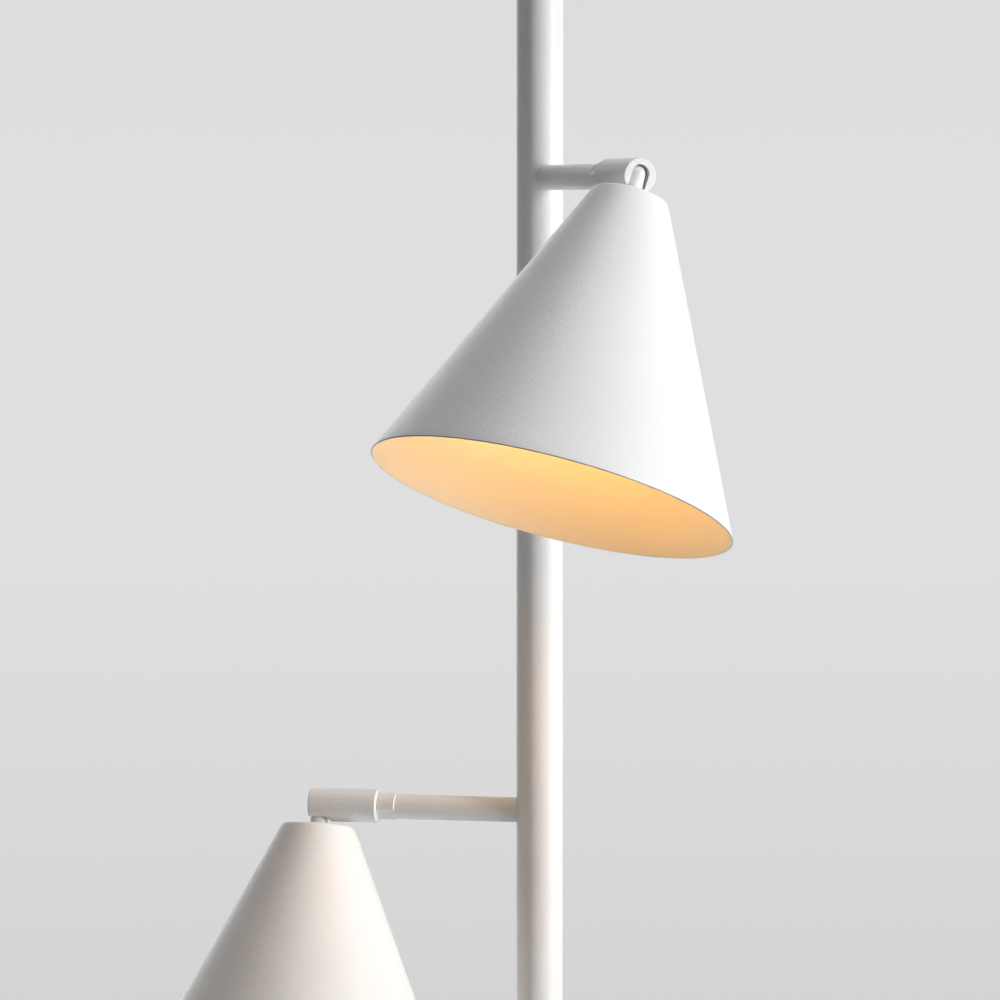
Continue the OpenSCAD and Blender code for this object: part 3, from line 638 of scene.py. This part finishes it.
def cutting_tree():
    """The tree that pushes ribs or a thread into the outside of a turned piece."""
    tree, sockets = new_tree(
        "ribs and threads",
        {
            "Piece": (SHAPE, None),
            "Ribs": (NUMBER, 24.0),
            "Turns a metre": (NUMBER, 0.0),
            "Depth": (NUMBER, 0.5 * MM),
            "Outside": (NUMBER, 10 * MM),
            "From": (NUMBER, 0.0),
            "To": (NUMBER, 10 * MM),
            "Run-out": (NUMBER, 1 * MM),
            "Finish": (FINISH, None),
        },
    )
    new, link, calc = tree.nodes.new, tree.links.new, calculator(tree)
    value = new("NodeGroupInput").outputs
    split = new("ShaderNodeSeparateXYZ")
    link(new("GeometryNodeInputPosition").outputs[0], split.inputs[0])
    x, y, z = split.outputs
    radius = calc("SQRT", calc("ADD", calc("MULTIPLY", x, x), calc("MULTIPLY", y, y)))
    round_turn = calc("MULTIPLY", calc("ARCTAN2", y, x), value["Ribs"])
    climb = calc("MULTIPLY", calc("MULTIPLY", z, value["Turns a metre"]), math.tau)
    wave = calc("COSINE", calc("SUBTRACT", round_turn, climb))
    share = calc("MULTIPLY_ADD", wave, -0.5, 0.5)
    above = calc("DIVIDE", calc("SUBTRACT", z, value["From"]), value["Run-out"])
    below = calc("DIVIDE", calc("SUBTRACT", value["To"], z), value["Run-out"])
    reach = calc("MINIMUM", calc("MINIMUM", above, below), 1.0)
    outer = calc("GREATER_THAN", radius, value["Outside"])
    cut = calc("MULTIPLY", calc("MAXIMUM", reach, 0.0), outer)
    push = calc("MULTIPLY", calc("MULTIPLY", cut, share), value["Depth"])
    inwards = calc("DIVIDE", calc("MULTIPLY", push, -1.0), radius)
    way = new("ShaderNodeCombineXYZ")
    link(calc("MULTIPLY", x, inwards), way.inputs[0])
    link(calc("MULTIPLY", y, inwards), way.inputs[1])
    shift = new("GeometryNodeSetPosition")
    link(value["Piece"], shift.inputs["Geometry"])
    link(way.outputs[0], shift.inputs["Offset"])
    end_tree(tree, shift.outputs[0], value["Finish"])
    return tree, sockets


CUTTING = cutting_tree()
print("tree:", CUTTING[0].name, "with inputs", list(CUTTING[1]))

# %% Helpers for finer sections
ROUND_STEPS = 4


def thick_line(points, step):
    """The same line with more points, none further apart than step."""
    line = [points[0]]
    for a, b in zip(points, points[1:]):
        parts = max(1, math.ceil(math.dist(a, b) / step))
        line += [
            (a[0] + (b[0] - a[0]) * i / parts, a[1] + (b[1] - a[1]) * i / parts)
            for i in range(1, parts + 1)
        ]
    return line


def softened(corners):
    """A section's corners, each (radius, height, rounding), as a line of points."""
    line = []
    for i, (r, h, soft) in enumerate(corners):
        here = Vector((r, h))
        if not soft:
            line.append((r, h))
            continue
        before = Vector(corners[i - 1][:2]) - here
        after = Vector(corners[(i + 1) % len(corners)][:2]) - here
        leg = soft / math.tan(before.angle(after) / 2)
        first, last = here + before.normalized() * leg, here + after.normalized() * leg
        for k in range(ROUND_STEPS + 1):
            t = k / ROUND_STEPS
            line.append(tuple(first * (1 - t) ** 2 + here * (2 * t * (1 - t)) + last * t * t))
    return line


def in_mm(corners):
    """Corners that are written in millimetres, in metres."""
    return [tuple(value * MM for value in corner) for corner in corners]


def stands_for(piece, node, body):
    """Shows a finer piece instead of its CAD node, moving with the body that is given."""
    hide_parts(node)
    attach(piece, body)
    print(piece.name, len(piece.data.polygons), "faces, stands for", node)


# %% [markdown]
# The bulb is a 60 mm frosted globe bulb on a screw cap. Its glass is blown into a mould: the
# globe runs into the neck in one S-shaped curve, which a straight cone can't show. The section
# takes that curve from a Bezier between the neck and the globe. The cap's thread is rolled, a
# little over six turns of 3.2 mm.

# %% The section of a bulb's glass
# A top, an end or the globe's middle is given as a distance below the shade's pivot
HOLDER_TOP = SHADE_DROP + 5.5 * MM
HOLDER_END = HOLDER_TOP + 44 * MM
CAP_TOP = HOLDER_END - 22 * MM
CAP_END = CAP_TOP + 24 * MM
CAP_R = 13.2 * MM
CONTACT_TOP = CAP_TOP - 3 * MM
GLOBE_R = 30 * MM
GLOBE_AT = CONTACT_TOP + 78 * MM
GLASS_WALL = 1 * MM
# The glass starts this far inside the cap
NECK_IN = 0.6 * MM
# The neck's curve joins the globe this many degrees above its middle
NECK_JOIN = 25
# How far the curve keeps its direction at either end
NECK_PULL = 15 * MM
NECK_STEPS = 16
GLOBE_STEPS = 28


def glass_line(inset):
    """Half of the glass's section, from the neck down round the globe."""
    r = GLOBE_R - inset
    leave = math.radians(NECK_JOIN)
    neck = Vector((CAP_R - NECK_IN - inset, -CAP_END))
    joins = Vector((r * math.cos(leave), -GLOBE_AT + r * math.sin(leave)))
    pull_neck = neck - Vector((0, NECK_PULL))
    pull_globe = joins - Vector((math.sin(leave), -math.cos(leave))) * NECK_PULL
    line = []
    for i in range(NECK_STEPS):
        t = i / NECK_STEPS
        point = (
            neck * (1 - t) ** 3
            + pull_neck * (3 * t * (1 - t) ** 2)
            + pull_globe * (3 * t * t * (1 - t))
            + joins * t**3
        )
        line.append(tuple(point))
    return line + arc((0, -GLOBE_AT), r, NECK_JOIN, -90, GLOBE_STEPS)


# %% Bulbs
BULB_SIDES = 96
CAP_STEP = 0.4 * MM
CAP_PITCH = 3.2 * MM
# The thread starts so far below the cap's top and stops so far above its end
THREAD_START = 1.2 * MM
THREAD_STOP = 2.4 * MM
CAP_SECTION = [
    (0, -CONTACT_TOP),
    (4.4 * MM, -CONTACT_TOP),
    (5 * MM, -CONTACT_TOP - 0.4 * MM),
    (CAP_R - 3 * MM, -CAP_TOP),
    (CAP_R - 0.8 * MM, -CAP_TOP - 0.8 * MM),
    (CAP_R, -CAP_TOP - 2 * MM),
    (CAP_R, -CAP_END + THREAD_STOP),
    (CAP_R - 0.5 * MM, -CAP_END),
    (0, -CAP_END),
]
CAP_THREAD = {
    "Ribs": 1.0,
    "Turns a metre": 1 / CAP_PITCH,
    "Depth": 0.8 * MM,
    "Outside": 12.5 * MM,
    "From": -CAP_END + THREAD_STOP,
    "To": -CAP_TOP - THREAD_START,
    "Run-out": 1.5 * MM,
}
glass_section = glass_line(0) + glass_line(GLASS_WALL)[::-1]
cap_section = thick_line(CAP_SECTION, CAP_STEP)
for name, head in HEADS.items():
    place = shade_matrix(head)
    body = f"{name}_shade"
    glass = turned(f"{name}_blown_glass", glass_section, BULB_SIDES, bulb_glass, place)
    stands_for(glass, f"{name}_bulb_glass", body)
    cap = turned(
        f"{name}_threaded_cap", cap_section, BULB_SIDES, cap_metal, place, CAP_THREAD
    )
    stands_for(cap, f"{name}_bulb_cap", body)

# %% [markdown]
# The lampholder is moulded in black phenolic: a domed shoulder, and a skirt with ribs for the
# fingers that screw it together. The ribs are the wave of the cutting tree with no turns to the
# metre, so they stand straight.

# %% Lampholders
HOLDER_R = 17.5 * MM
HOLDER_BORE = 14.05 * MM
HOLDER_ROOF = HOLDER_TOP + 11.6 * MM
LEAD_HOLE = 3.2 * MM
SHOULDER_FLAT_R = 9 * MM
SHOULDER_R = 8 * MM
SHOULDER_STEPS = 10
# A groove between shoulder and skirt shows where the two halves meet
GROOVE_R = HOLDER_R - 0.7 * MM
GROOVE_SOFT = 0.2 * MM
HOLDER_STEP = 1.0 * MM
RIBBED_SIDES = 240
holder_section = (
    [(LEAD_HOLE, -HOLDER_TOP), (SHOULDER_FLAT_R, -HOLDER_TOP)]
    + arc((HOLDER_R - SHOULDER_R, -HOLDER_TOP - 9 * MM), SHOULDER_R, 90, 0, SHOULDER_STEPS)
    + softened(
        [
            (HOLDER_R, -HOLDER_TOP - 12 * MM, 0),
            (HOLDER_R, -HOLDER_TOP - 13 * MM, GROOVE_SOFT),
            (GROOVE_R, -HOLDER_TOP - 13.7 * MM, GROOVE_SOFT),
            (GROOVE_R, -HOLDER_TOP - 14.7 * MM, GROOVE_SOFT),
            (HOLDER_R, -HOLDER_TOP - 15.4 * MM, GROOVE_SOFT),
            (HOLDER_R, -HOLDER_END, 0.8 * MM),
            (HOLDER_BORE, -HOLDER_END, 0.5 * MM),
            (HOLDER_BORE, -HOLDER_ROOF, 0),
            (LEAD_HOLE, -HOLDER_ROOF, 0),
        ]
    )
)
HOLDER_RIBS = {
    "Ribs": 30.0,
    "Turns a metre": 0.0,
    "Depth": 0.7 * MM,
    "Outside": 16.0 * MM,
    "From": -HOLDER_END + 4 * MM,
    "To": -HOLDER_TOP - 18 * MM,
    "Run-out": 1.2 * MM,
}
for name, head in HEADS.items():
    holder = turned(
        f"{name}_ribbed_holder",
        thick_line(holder_section, HOLDER_STEP),
        RIBBED_SIDES,
        phenolic,
        shade_matrix(head),
        HOLDER_RIBS,
    )
    stands_for(holder, f"{name}_lampholder", f"{name}_shade")

# %% [markdown]
# At the floor and the ceiling the lamp stands on rubber pads in domed cups. A pad that only
# presses against a ceiling has to grip it, so both are moulded with round grooves in their faces.
# The cups are spun from sheet, like the shades, and the coat leaves their edges soft.

# %% The section of a pad
PAD_T = 4 * MM
PAD_PROUD = 2 * MM
PAD_EDGE = 0.8 * MM
PAD_SOFT = 0.2 * MM
RING_DEPTH = 0.8 * MM
# Half the width of a groove, at its mouth and at its floor
RING_MOUTH, RING_FLOOR = 0.7 * MM, 0.5 * MM


def pad_section(radius, grooves):
    """A pad's section, with its grooved face at height nought and its back above."""
    line = [(0, 0)]
    for i in range(1, grooves + 1):
        r = radius * i / (grooves + 1)
        line += [
            (r - RING_MOUTH, 0),
            (r - RING_FLOOR, RING_DEPTH),
            (r + RING_FLOOR, RING_DEPTH),
            (r + RING_MOUTH, 0),
        ]
    return line + softened(
        [
            (radius - PAD_EDGE, 0, PAD_SOFT),
            (radius, PAD_EDGE, PAD_SOFT),
            (radius, PAD_T, 0),
            (0, PAD_T, 0),
        ]
    )


# %% The section of a cup
CUP_H = 18 * MM
CUP_EDGE_W = 2 * MM
CUP_EDGE_H = 3 * MM
CUP_RISE = 13 * MM
CUP_SOFT = 0.4 * MM
DOME_STEPS = 28
# The edge from the pad's seat round to the dome; the first and last corners only give directions
CUP_LIP = softened(in_mm([(20, 2, 0), (0, 2, 0), (0, 0, 0.4), (2, 0, 0.5), (2, 3, 0)]))[1:-1]


def cup_dome(radius, top_r):
    """The cup's domed side, a quarter of an ellipse from its edge up to its top."""
    turns = [math.pi / 2 * i / DOME_STEPS for i in range(DOME_STEPS + 1)]
    width = radius - top_r
    return [(top_r + width * math.cos(t), CUP_EDGE_H + CUP_RISE * math.sin(t)) for t in turns]


def cup_section(radius, top_r, inner):
    """A cup's section: its edge, its dome and its top, closed by the inner line."""
    edge = [(radius - CUP_EDGE_W + r, h) for r, h in CUP_LIP]
    corners = [(top_r, CUP_EDGE_H + CUP_RISE, 0), (top_r, CUP_H, CUP_SOFT), (0, CUP_H, 0)]
    return edge + cup_dome(radius, top_r) + softened(corners)[:-1] + inner


# %% Pads and cups
FOOT_SIDES = 160
FLOOR_PAD_R, CEILING_PAD_R = 36.9 * MM, 25.9 * MM
FOOT_CUP_R, CEILING_CUP_R = 39 * MM, 28 * MM
CEILING_CUP_TOP_R = 9 * MM
# The foot's cup has a countersunk hole for its screw, and the ceiling's cup has a stem
FOOT_CUP_HOLE = in_mm([(4.05, 18), (4.05, 6.05), (8.05, 2)])
CEILING_CUP_STEM = in_mm([(7.47, 18), (7.47, 30), (0, 30), (0, 2)])
FLOOR = Matrix()
CEILING = Matrix.Translation((0, 0, INSTALLED_H)) @ Matrix.Rotation(math.pi, 4, "X")
ON_PAD = Matrix.Translation((0, 0, PAD_PROUD))
floor_pad = pad_section(FLOOR_PAD_R, grooves=7)
ceiling_pad = pad_section(CEILING_PAD_R, grooves=5)
foot_cup = cup_section(FOOT_CUP_R, POLE_R, FOOT_CUP_HOLE)
ceiling_cup = cup_section(CEILING_CUP_R, CEILING_CUP_TOP_R, CEILING_CUP_STEM)
for name, node, section, finish, slot, place, body in [
    ("grooved_floor_pad", "floor_pad", floor_pad, rubber, "rubber", FLOOR, "pole"),
    ("grooved_ceiling_pad", "ceiling_pad", ceiling_pad, rubber, "rubber", CEILING, "plunger"),
    ("spun_foot_cup", "foot_cup", foot_cup, coat, "coat", FLOOR @ ON_PAD, "pole"),
    ("spun_ceiling_cup", "ceiling_cup", ceiling_cup, coat, "coat", CEILING @ ON_PAD, "plunger"),
]:
    stands_for(turned(name, section, FOOT_SIDES, finish, place), node, body)

# %% [markdown]
# The clamp screw is turned up by hand. Its knob is steel with a straight knurl, and its end
# carries a shallow dish, as a turned knob has. It turns with its own body, so it shows its joint.

# %% Clamp screw
CLAMP_SCREW_Z = 2256 * MM
CLAMP_SCREW_AZIMUTH = 25
SCREW_STEP = 0.4 * MM
# Distances are from the pole's axis; the knurl ends where the knob's rounded edges start
KNURL_FROM, KNURL_TO = 19.8, 27.2
screw_section = softened(
    in_mm(
        [
            (0, 12.15, 0),
            (2.1, 12.15, 0.1),
            (2.5, 12.6, 0.1),
            (2.5, 19, 0),
            (7.3, 19, 0.3),
            (8, KNURL_FROM, 0.3),
            (8, KNURL_TO, 0.3),
            (7.2, 28, 0.3),
            (4.6, 28, 0.3),
            (4.0, 27.3, 0.3),
            (0, 27.3, 0),
        ]
    )
)
KNURL = {
    "Ribs": 30.0,
    "Turns a metre": 0.0,
    "Depth": 0.7 * MM,
    "Outside": 6.8 * MM,
    "From": KNURL_FROM * MM,
    "To": KNURL_TO * MM,
    "Run-out": 0.8 * MM,
}
clamp_place = (
    Matrix.Translation((0, 0, CLAMP_SCREW_Z))
    @ Matrix.Rotation(math.radians(CLAMP_SCREW_AZIMUTH), 4, "Z")
    @ Matrix.Rotation(math.pi / 2, 4, "Y")
)
clamp = turned(
    "knurled_clamp_screw",
    thick_line(screw_section, SCREW_STEP),
    RIBBED_SIDES,
    steel,
    clamp_place,
    KNURL,
)
stands_for(clamp, "clamp_screw", "clamp_screw")

# %% [markdown]
# The spring in the ceiling end pushes the lamp against the ceiling. It is wound from round wire,
# with half a turn laid flat at each end so that it stands square on its seat. A plain spiral
# would have no such ends, so a third tree places each point of a line by its share of the length.

# %% The winding tree
FLAT_TURNS = 0.5
WIRE_SIDES = 12


def winding_tree():
    """The tree that winds a wire round an axis, with half a turn laid flat at each end."""
    tree, sockets = new_tree(
        "wound from wire",
        {
            "Turns": (NUMBER, 16.0),
            "Points": (COUNT, 400),
            "Coil radius": (NUMBER, 8.5 * MM),
            "Wire radius": (NUMBER, 1 * MM),
            "Rise": (NUMBER, 120 * MM),
            "Finish": (FINISH, None),
        },
    )
    new, link, calc = tree.nodes.new, tree.links.new, calculator(tree)
    value = new("NodeGroupInput").outputs
    line = new("GeometryNodeCurvePrimitiveLine")
    points = new("GeometryNodeResampleCurve")
    link(line.outputs["Curve"], points.inputs["Curve"])
    link(value["Points"], points.inputs["Count"])
    share = new("GeometryNodeSplineParameter").outputs["Factor"]
    turn = calc("MULTIPLY", calc("MULTIPLY", share, value["Turns"]), math.tau)
    flat = calc("DIVIDE", FLAT_TURNS, value["Turns"])
    climbing = calc("SUBTRACT", 1.0, calc("MULTIPLY", flat, 2.0))
    climbed = calc("DIVIDE", calc("SUBTRACT", share, flat), climbing)
    level = calc("MAXIMUM", calc("MINIMUM", climbed, 1.0), 0.0)
    at = new("ShaderNodeCombineXYZ")
    link(calc("MULTIPLY", calc("COSINE", turn), value["Coil radius"]), at.inputs["X"])
    link(calc("MULTIPLY", calc("SINE", turn), value["Coil radius"]), at.inputs["Y"])
    link(calc("MULTIPLY", level, value["Rise"]), at.inputs["Z"])
    wind = new("GeometryNodeSetPosition")
    link(points.outputs["Curve"], wind.inputs["Geometry"])
    link(at.outputs[0], wind.inputs["Position"])
    wire = new("GeometryNodeCurvePrimitiveCircle")
    wire.inputs["Resolution"].default_value = WIRE_SIDES
    link(value["Wire radius"], wire.inputs["Radius"])
    sweep = new("GeometryNodeCurveToMesh")
    sweep.inputs["Fill Caps"].default_value = True
    link(wind.outputs["Geometry"], sweep.inputs["Curve"])
    link(wire.outputs["Curve"], sweep.inputs["Profile Curve"])
    smooth = new("GeometryNodeSetShadeSmooth")
    link(sweep.outputs["Mesh"], smooth.inputs["Geometry"])
    end_tree(tree, smooth.outputs["Geometry"], value["Finish"])
    return tree, sockets


WINDING = winding_tree()
print("tree:", WINDING[0].name, "with inputs", list(WINDING[1]))

# %% Tension spring
SPRING_R, SPRING_WIRE_R = 9.5 * MM, 1.0 * MM
SPRING_TURNS, SPRING_POINTS = 16.0, 400
foot, head_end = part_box("tension_spring")
SPRING_FOOT = (0, 0, foot[2] + SPRING_WIRE_R)
SPRING_HEAD = (0, 0, head_end[2] - SPRING_WIRE_R)
host = add_object("spring_host", bpy.data.meshes.new("spring_host"))
use_tree(
    host,
    *WINDING,
    {
        "Turns": SPRING_TURNS,
        "Points": SPRING_POINTS,
        "Coil radius": SPRING_R - SPRING_WIRE_R,
        "Wire radius": SPRING_WIRE_R,
        "Rise": SPRING_HEAD[2] - SPRING_FOOT[2],
        "Finish": steel,
    },
)
spring = settle(plain_mesh(host, "wound_tension_spring"), Matrix.Translation(SPRING_FOOT))
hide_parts("tension_spring")
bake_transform(spring)
print(spring.name, len(spring.data.polygons), "faces")

# %% [markdown]
# The studio's background is a grey paper that is palest at the height of the lamp and darker
# towards the floor. It could be a wall of its own, but then it would block the lamps in some
# views, so the world paints it by the direction that a ray looks in. Only rays that should see
# the room get it: the camera's, and those in metal and glass. All the others get a dim even
# surround.

# %% World
# How steeply a ray looks, from -1 straight down to 1 straight up, and the grey that it meets
BACKDROP_RAMP = [
    (-1.0, 0.56),
    (-0.30, 0.60),
    (-0.16, 0.655),
    (-0.13, 0.688),
    (-0.10, 0.712),
    (-0.07, 0.738),
    (0.01, 0.738),
    (0.05, 0.716),
    (1.0, 0.70),
]
SURROUND = 0.13


def sees_room(tree):
    """One where a ray is the camera's, or is mirrored or bent by a piece, and nought elsewhere."""
    calc = calculator(tree)
    rays = tree.nodes.new("ShaderNodeLightPath").outputs
    mirrored_or_bent = calc("MAXIMUM", rays["Is Glossy Ray"], rays["Is Transmission Ray"])
    return calc("MAXIMUM", rays["Is Camera Ray"], mirrored_or_bent)


world = bpy.data.worlds.new("studio")
bpy.context.scene.world = world
world.use_nodes = True
room = world.node_tree
room.nodes.clear()
direction = room.nodes.new("ShaderNodeTexCoord").outputs["Generated"]
split = room.nodes.new("ShaderNodeSeparateXYZ")
room.links.new(direction, split.inputs[0])
height = room.nodes.new("ShaderNodeMapRange")
height.inputs["From Min"].default_value = -1.0
room.links.new(split.outputs["Z"], height.inputs["Value"])
paper = room.nodes.new("ShaderNodeValToRGB")
room.links.new(height.outputs["Result"], paper.inputs["Fac"])
stops = paper.color_ramp.elements
for i, (z, grey) in enumerate(BACKDROP_RAMP):
    at = (z + 1) / 2
    stop = stops[i] if i in (0, 1) else stops.new(at)
    stop.position = at
    stop.color = (grey, grey, grey, 1)
seen = room.nodes.new("ShaderNodeBackground")
room.links.new(paper.outputs["Color"], seen.inputs["Color"])
surround = room.nodes.new("ShaderNodeBackground")
surround.inputs["Color"].default_value = (1, 1, 1, 1)
surround.inputs["Strength"].default_value = SURROUND
chooser = room.nodes.new("ShaderNodeMixShader")
room.links.new(sees_room(room), chooser.inputs[0])
room.links.new(surround.outputs[0], chooser.inputs[1])
room.links.new(seen.outputs[0], chooser.inputs[2])
world_out = room.nodes.new("ShaderNodeOutputWorld")
room.links.new(chooser.outputs[0], world_out.inputs["Surface"])
print("background stops:", len(stops))

# %% [markdown]
# The photograph is lit from the right by one fairly narrow tall soft box, 66 degrees round from
# the camera: the pole's shadow side ends sharply a quarter of the way across. A weak overhead box
# lights the shades' tops, and a dim one behind on the left lights the pole's far edge. Two weak
# ones stand low in front. The larger, on the right, stands for the light that comes back off the
# floor onto the undersides of the arms. The smaller is a card on the left that lights the pole's
# left side.


# %% Lamps of the studio
def soft_box(name, place, target, size, watts):
    """A rectangular lamp of so many metres by metres that looks at its target, itself unseen."""
    light = bpy.data.lights.new(name, "AREA")
    light.shape = "RECTANGLE"
    light.size, light.size_y = size
    light.energy = watts
    box = add_object(name, light)
    box.location = place
    aim = Vector(target) - Vector(place)
    box.rotation_euler = aim.to_track_quat("-Z", "Y").to_euler()
    box.visible_camera = False
    print("lamp:", name, watts, "W at", place)


BETWEEN_HEADS = (0, 0, 1.5)
LOWER_HEAD = (-0.1, 0, 1.35)
UNDER_LOWER_ARM = (0, 0, 1.25)
soft_box("key", (2.37, -1.09, 2.0), BETWEEN_HEADS, size=(0.5, 2.4), watts=73)
soft_box("overhead", (0.3, 0.0, 4.2), BETWEEN_HEADS, size=(1.5, 1.5), watts=25)
soft_box("back fill", (-1.15, 2.82, 1.8), BETWEEN_HEADS, size=(1.6, 2.4), watts=18)
soft_box("low fill", (0.9, -0.7, 0.5), LOWER_HEAD, size=(0.6, 0.6), watts=4)
soft_box("low card", (-0.45, -0.25, 0.75), UNDER_LOWER_ARM, size=(0.25, 0.25), watts=1.3)

# %% [markdown]
# The floor is a pale round sheet under the foot. It fades out to the background towards its edge,
# so no horizon shows from any side. More light would make it paler, but would also fall on the
# lamp. So the floor glows faintly instead, only for the rays that see the room, and keeps the
# lamp's shadow.

# %% Floor
FLOOR_R = 2.5
FLOOR_SIDES = 128
FLOOR_DRIFT = 3
FLOOR_LOW, FLOOR_HIGH = (0.62, 0.62, 0.62), (0.66, 0.66, 0.66)
FLOOR_ROUGHNESS = 0.8
FLOOR_GLOW = 0.3
# Where the floor starts to fade and where it is gone, from the pole's axis
FADE_FROM, FADE_TO = 0.4, 2.4


def floor_material():
    """A dull pale grey that glows for the rays that see the room and fades with the distance."""
    material, tree, shader = new_material("studio floor")
    new, link, calc = tree.nodes.new, tree.links.new, calculator(tree)
    link(tint(tree, noise(tree, FLOOR_DRIFT), FLOOR_LOW, FLOOR_HIGH), shader.inputs["Base Color"])
    shader.inputs["Roughness"].default_value = FLOOR_ROUGHNESS
    shader.inputs["Emission Color"].default_value = (1, 1, 1, 1)
    glow = calc("MULTIPLY", sees_room(tree), FLOOR_GLOW)
    link(glow, shader.inputs["Emission Strength"])
    reach = new("ShaderNodeVectorMath")
    reach.operation = "LENGTH"
    link(new("ShaderNodeTexCoord").outputs["Object"], reach.inputs[0])
    fade = new("ShaderNodeMapRange")
    fade.interpolation_type = "SMOOTHSTEP"
    fade.inputs["From Min"].default_value = FADE_FROM
    fade.inputs["From Max"].default_value = FADE_TO
    link(reach.outputs["Value"], fade.inputs["Value"])
    clear = new("ShaderNodeBsdfTransparent")
    mix = new("ShaderNodeMixShader")
    link(fade.outputs["Result"], mix.inputs[0])
    link(shader.outputs["BSDF"], mix.inputs[1])
    link(clear.outputs["BSDF"], mix.inputs[2])
    out = next(node for node in tree.nodes if node.type == "OUTPUT_MATERIAL")
    link(mix.outputs[0], out.inputs["Surface"])
    return material


floor_mesh = bpy.data.meshes.new("floor")
sheet = bmesh.new()
bmesh.ops.create_circle(sheet, cap_ends=True, segments=FLOOR_SIDES, radius=FLOOR_R)
sheet.to_mesh(floor_mesh)
sheet.free()
floor_mesh.materials.append(floor_material())
floor = add_object("floor", floor_mesh)
print("floor:", FLOOR_R, "m in radius, faded out at", FADE_TO, "m")
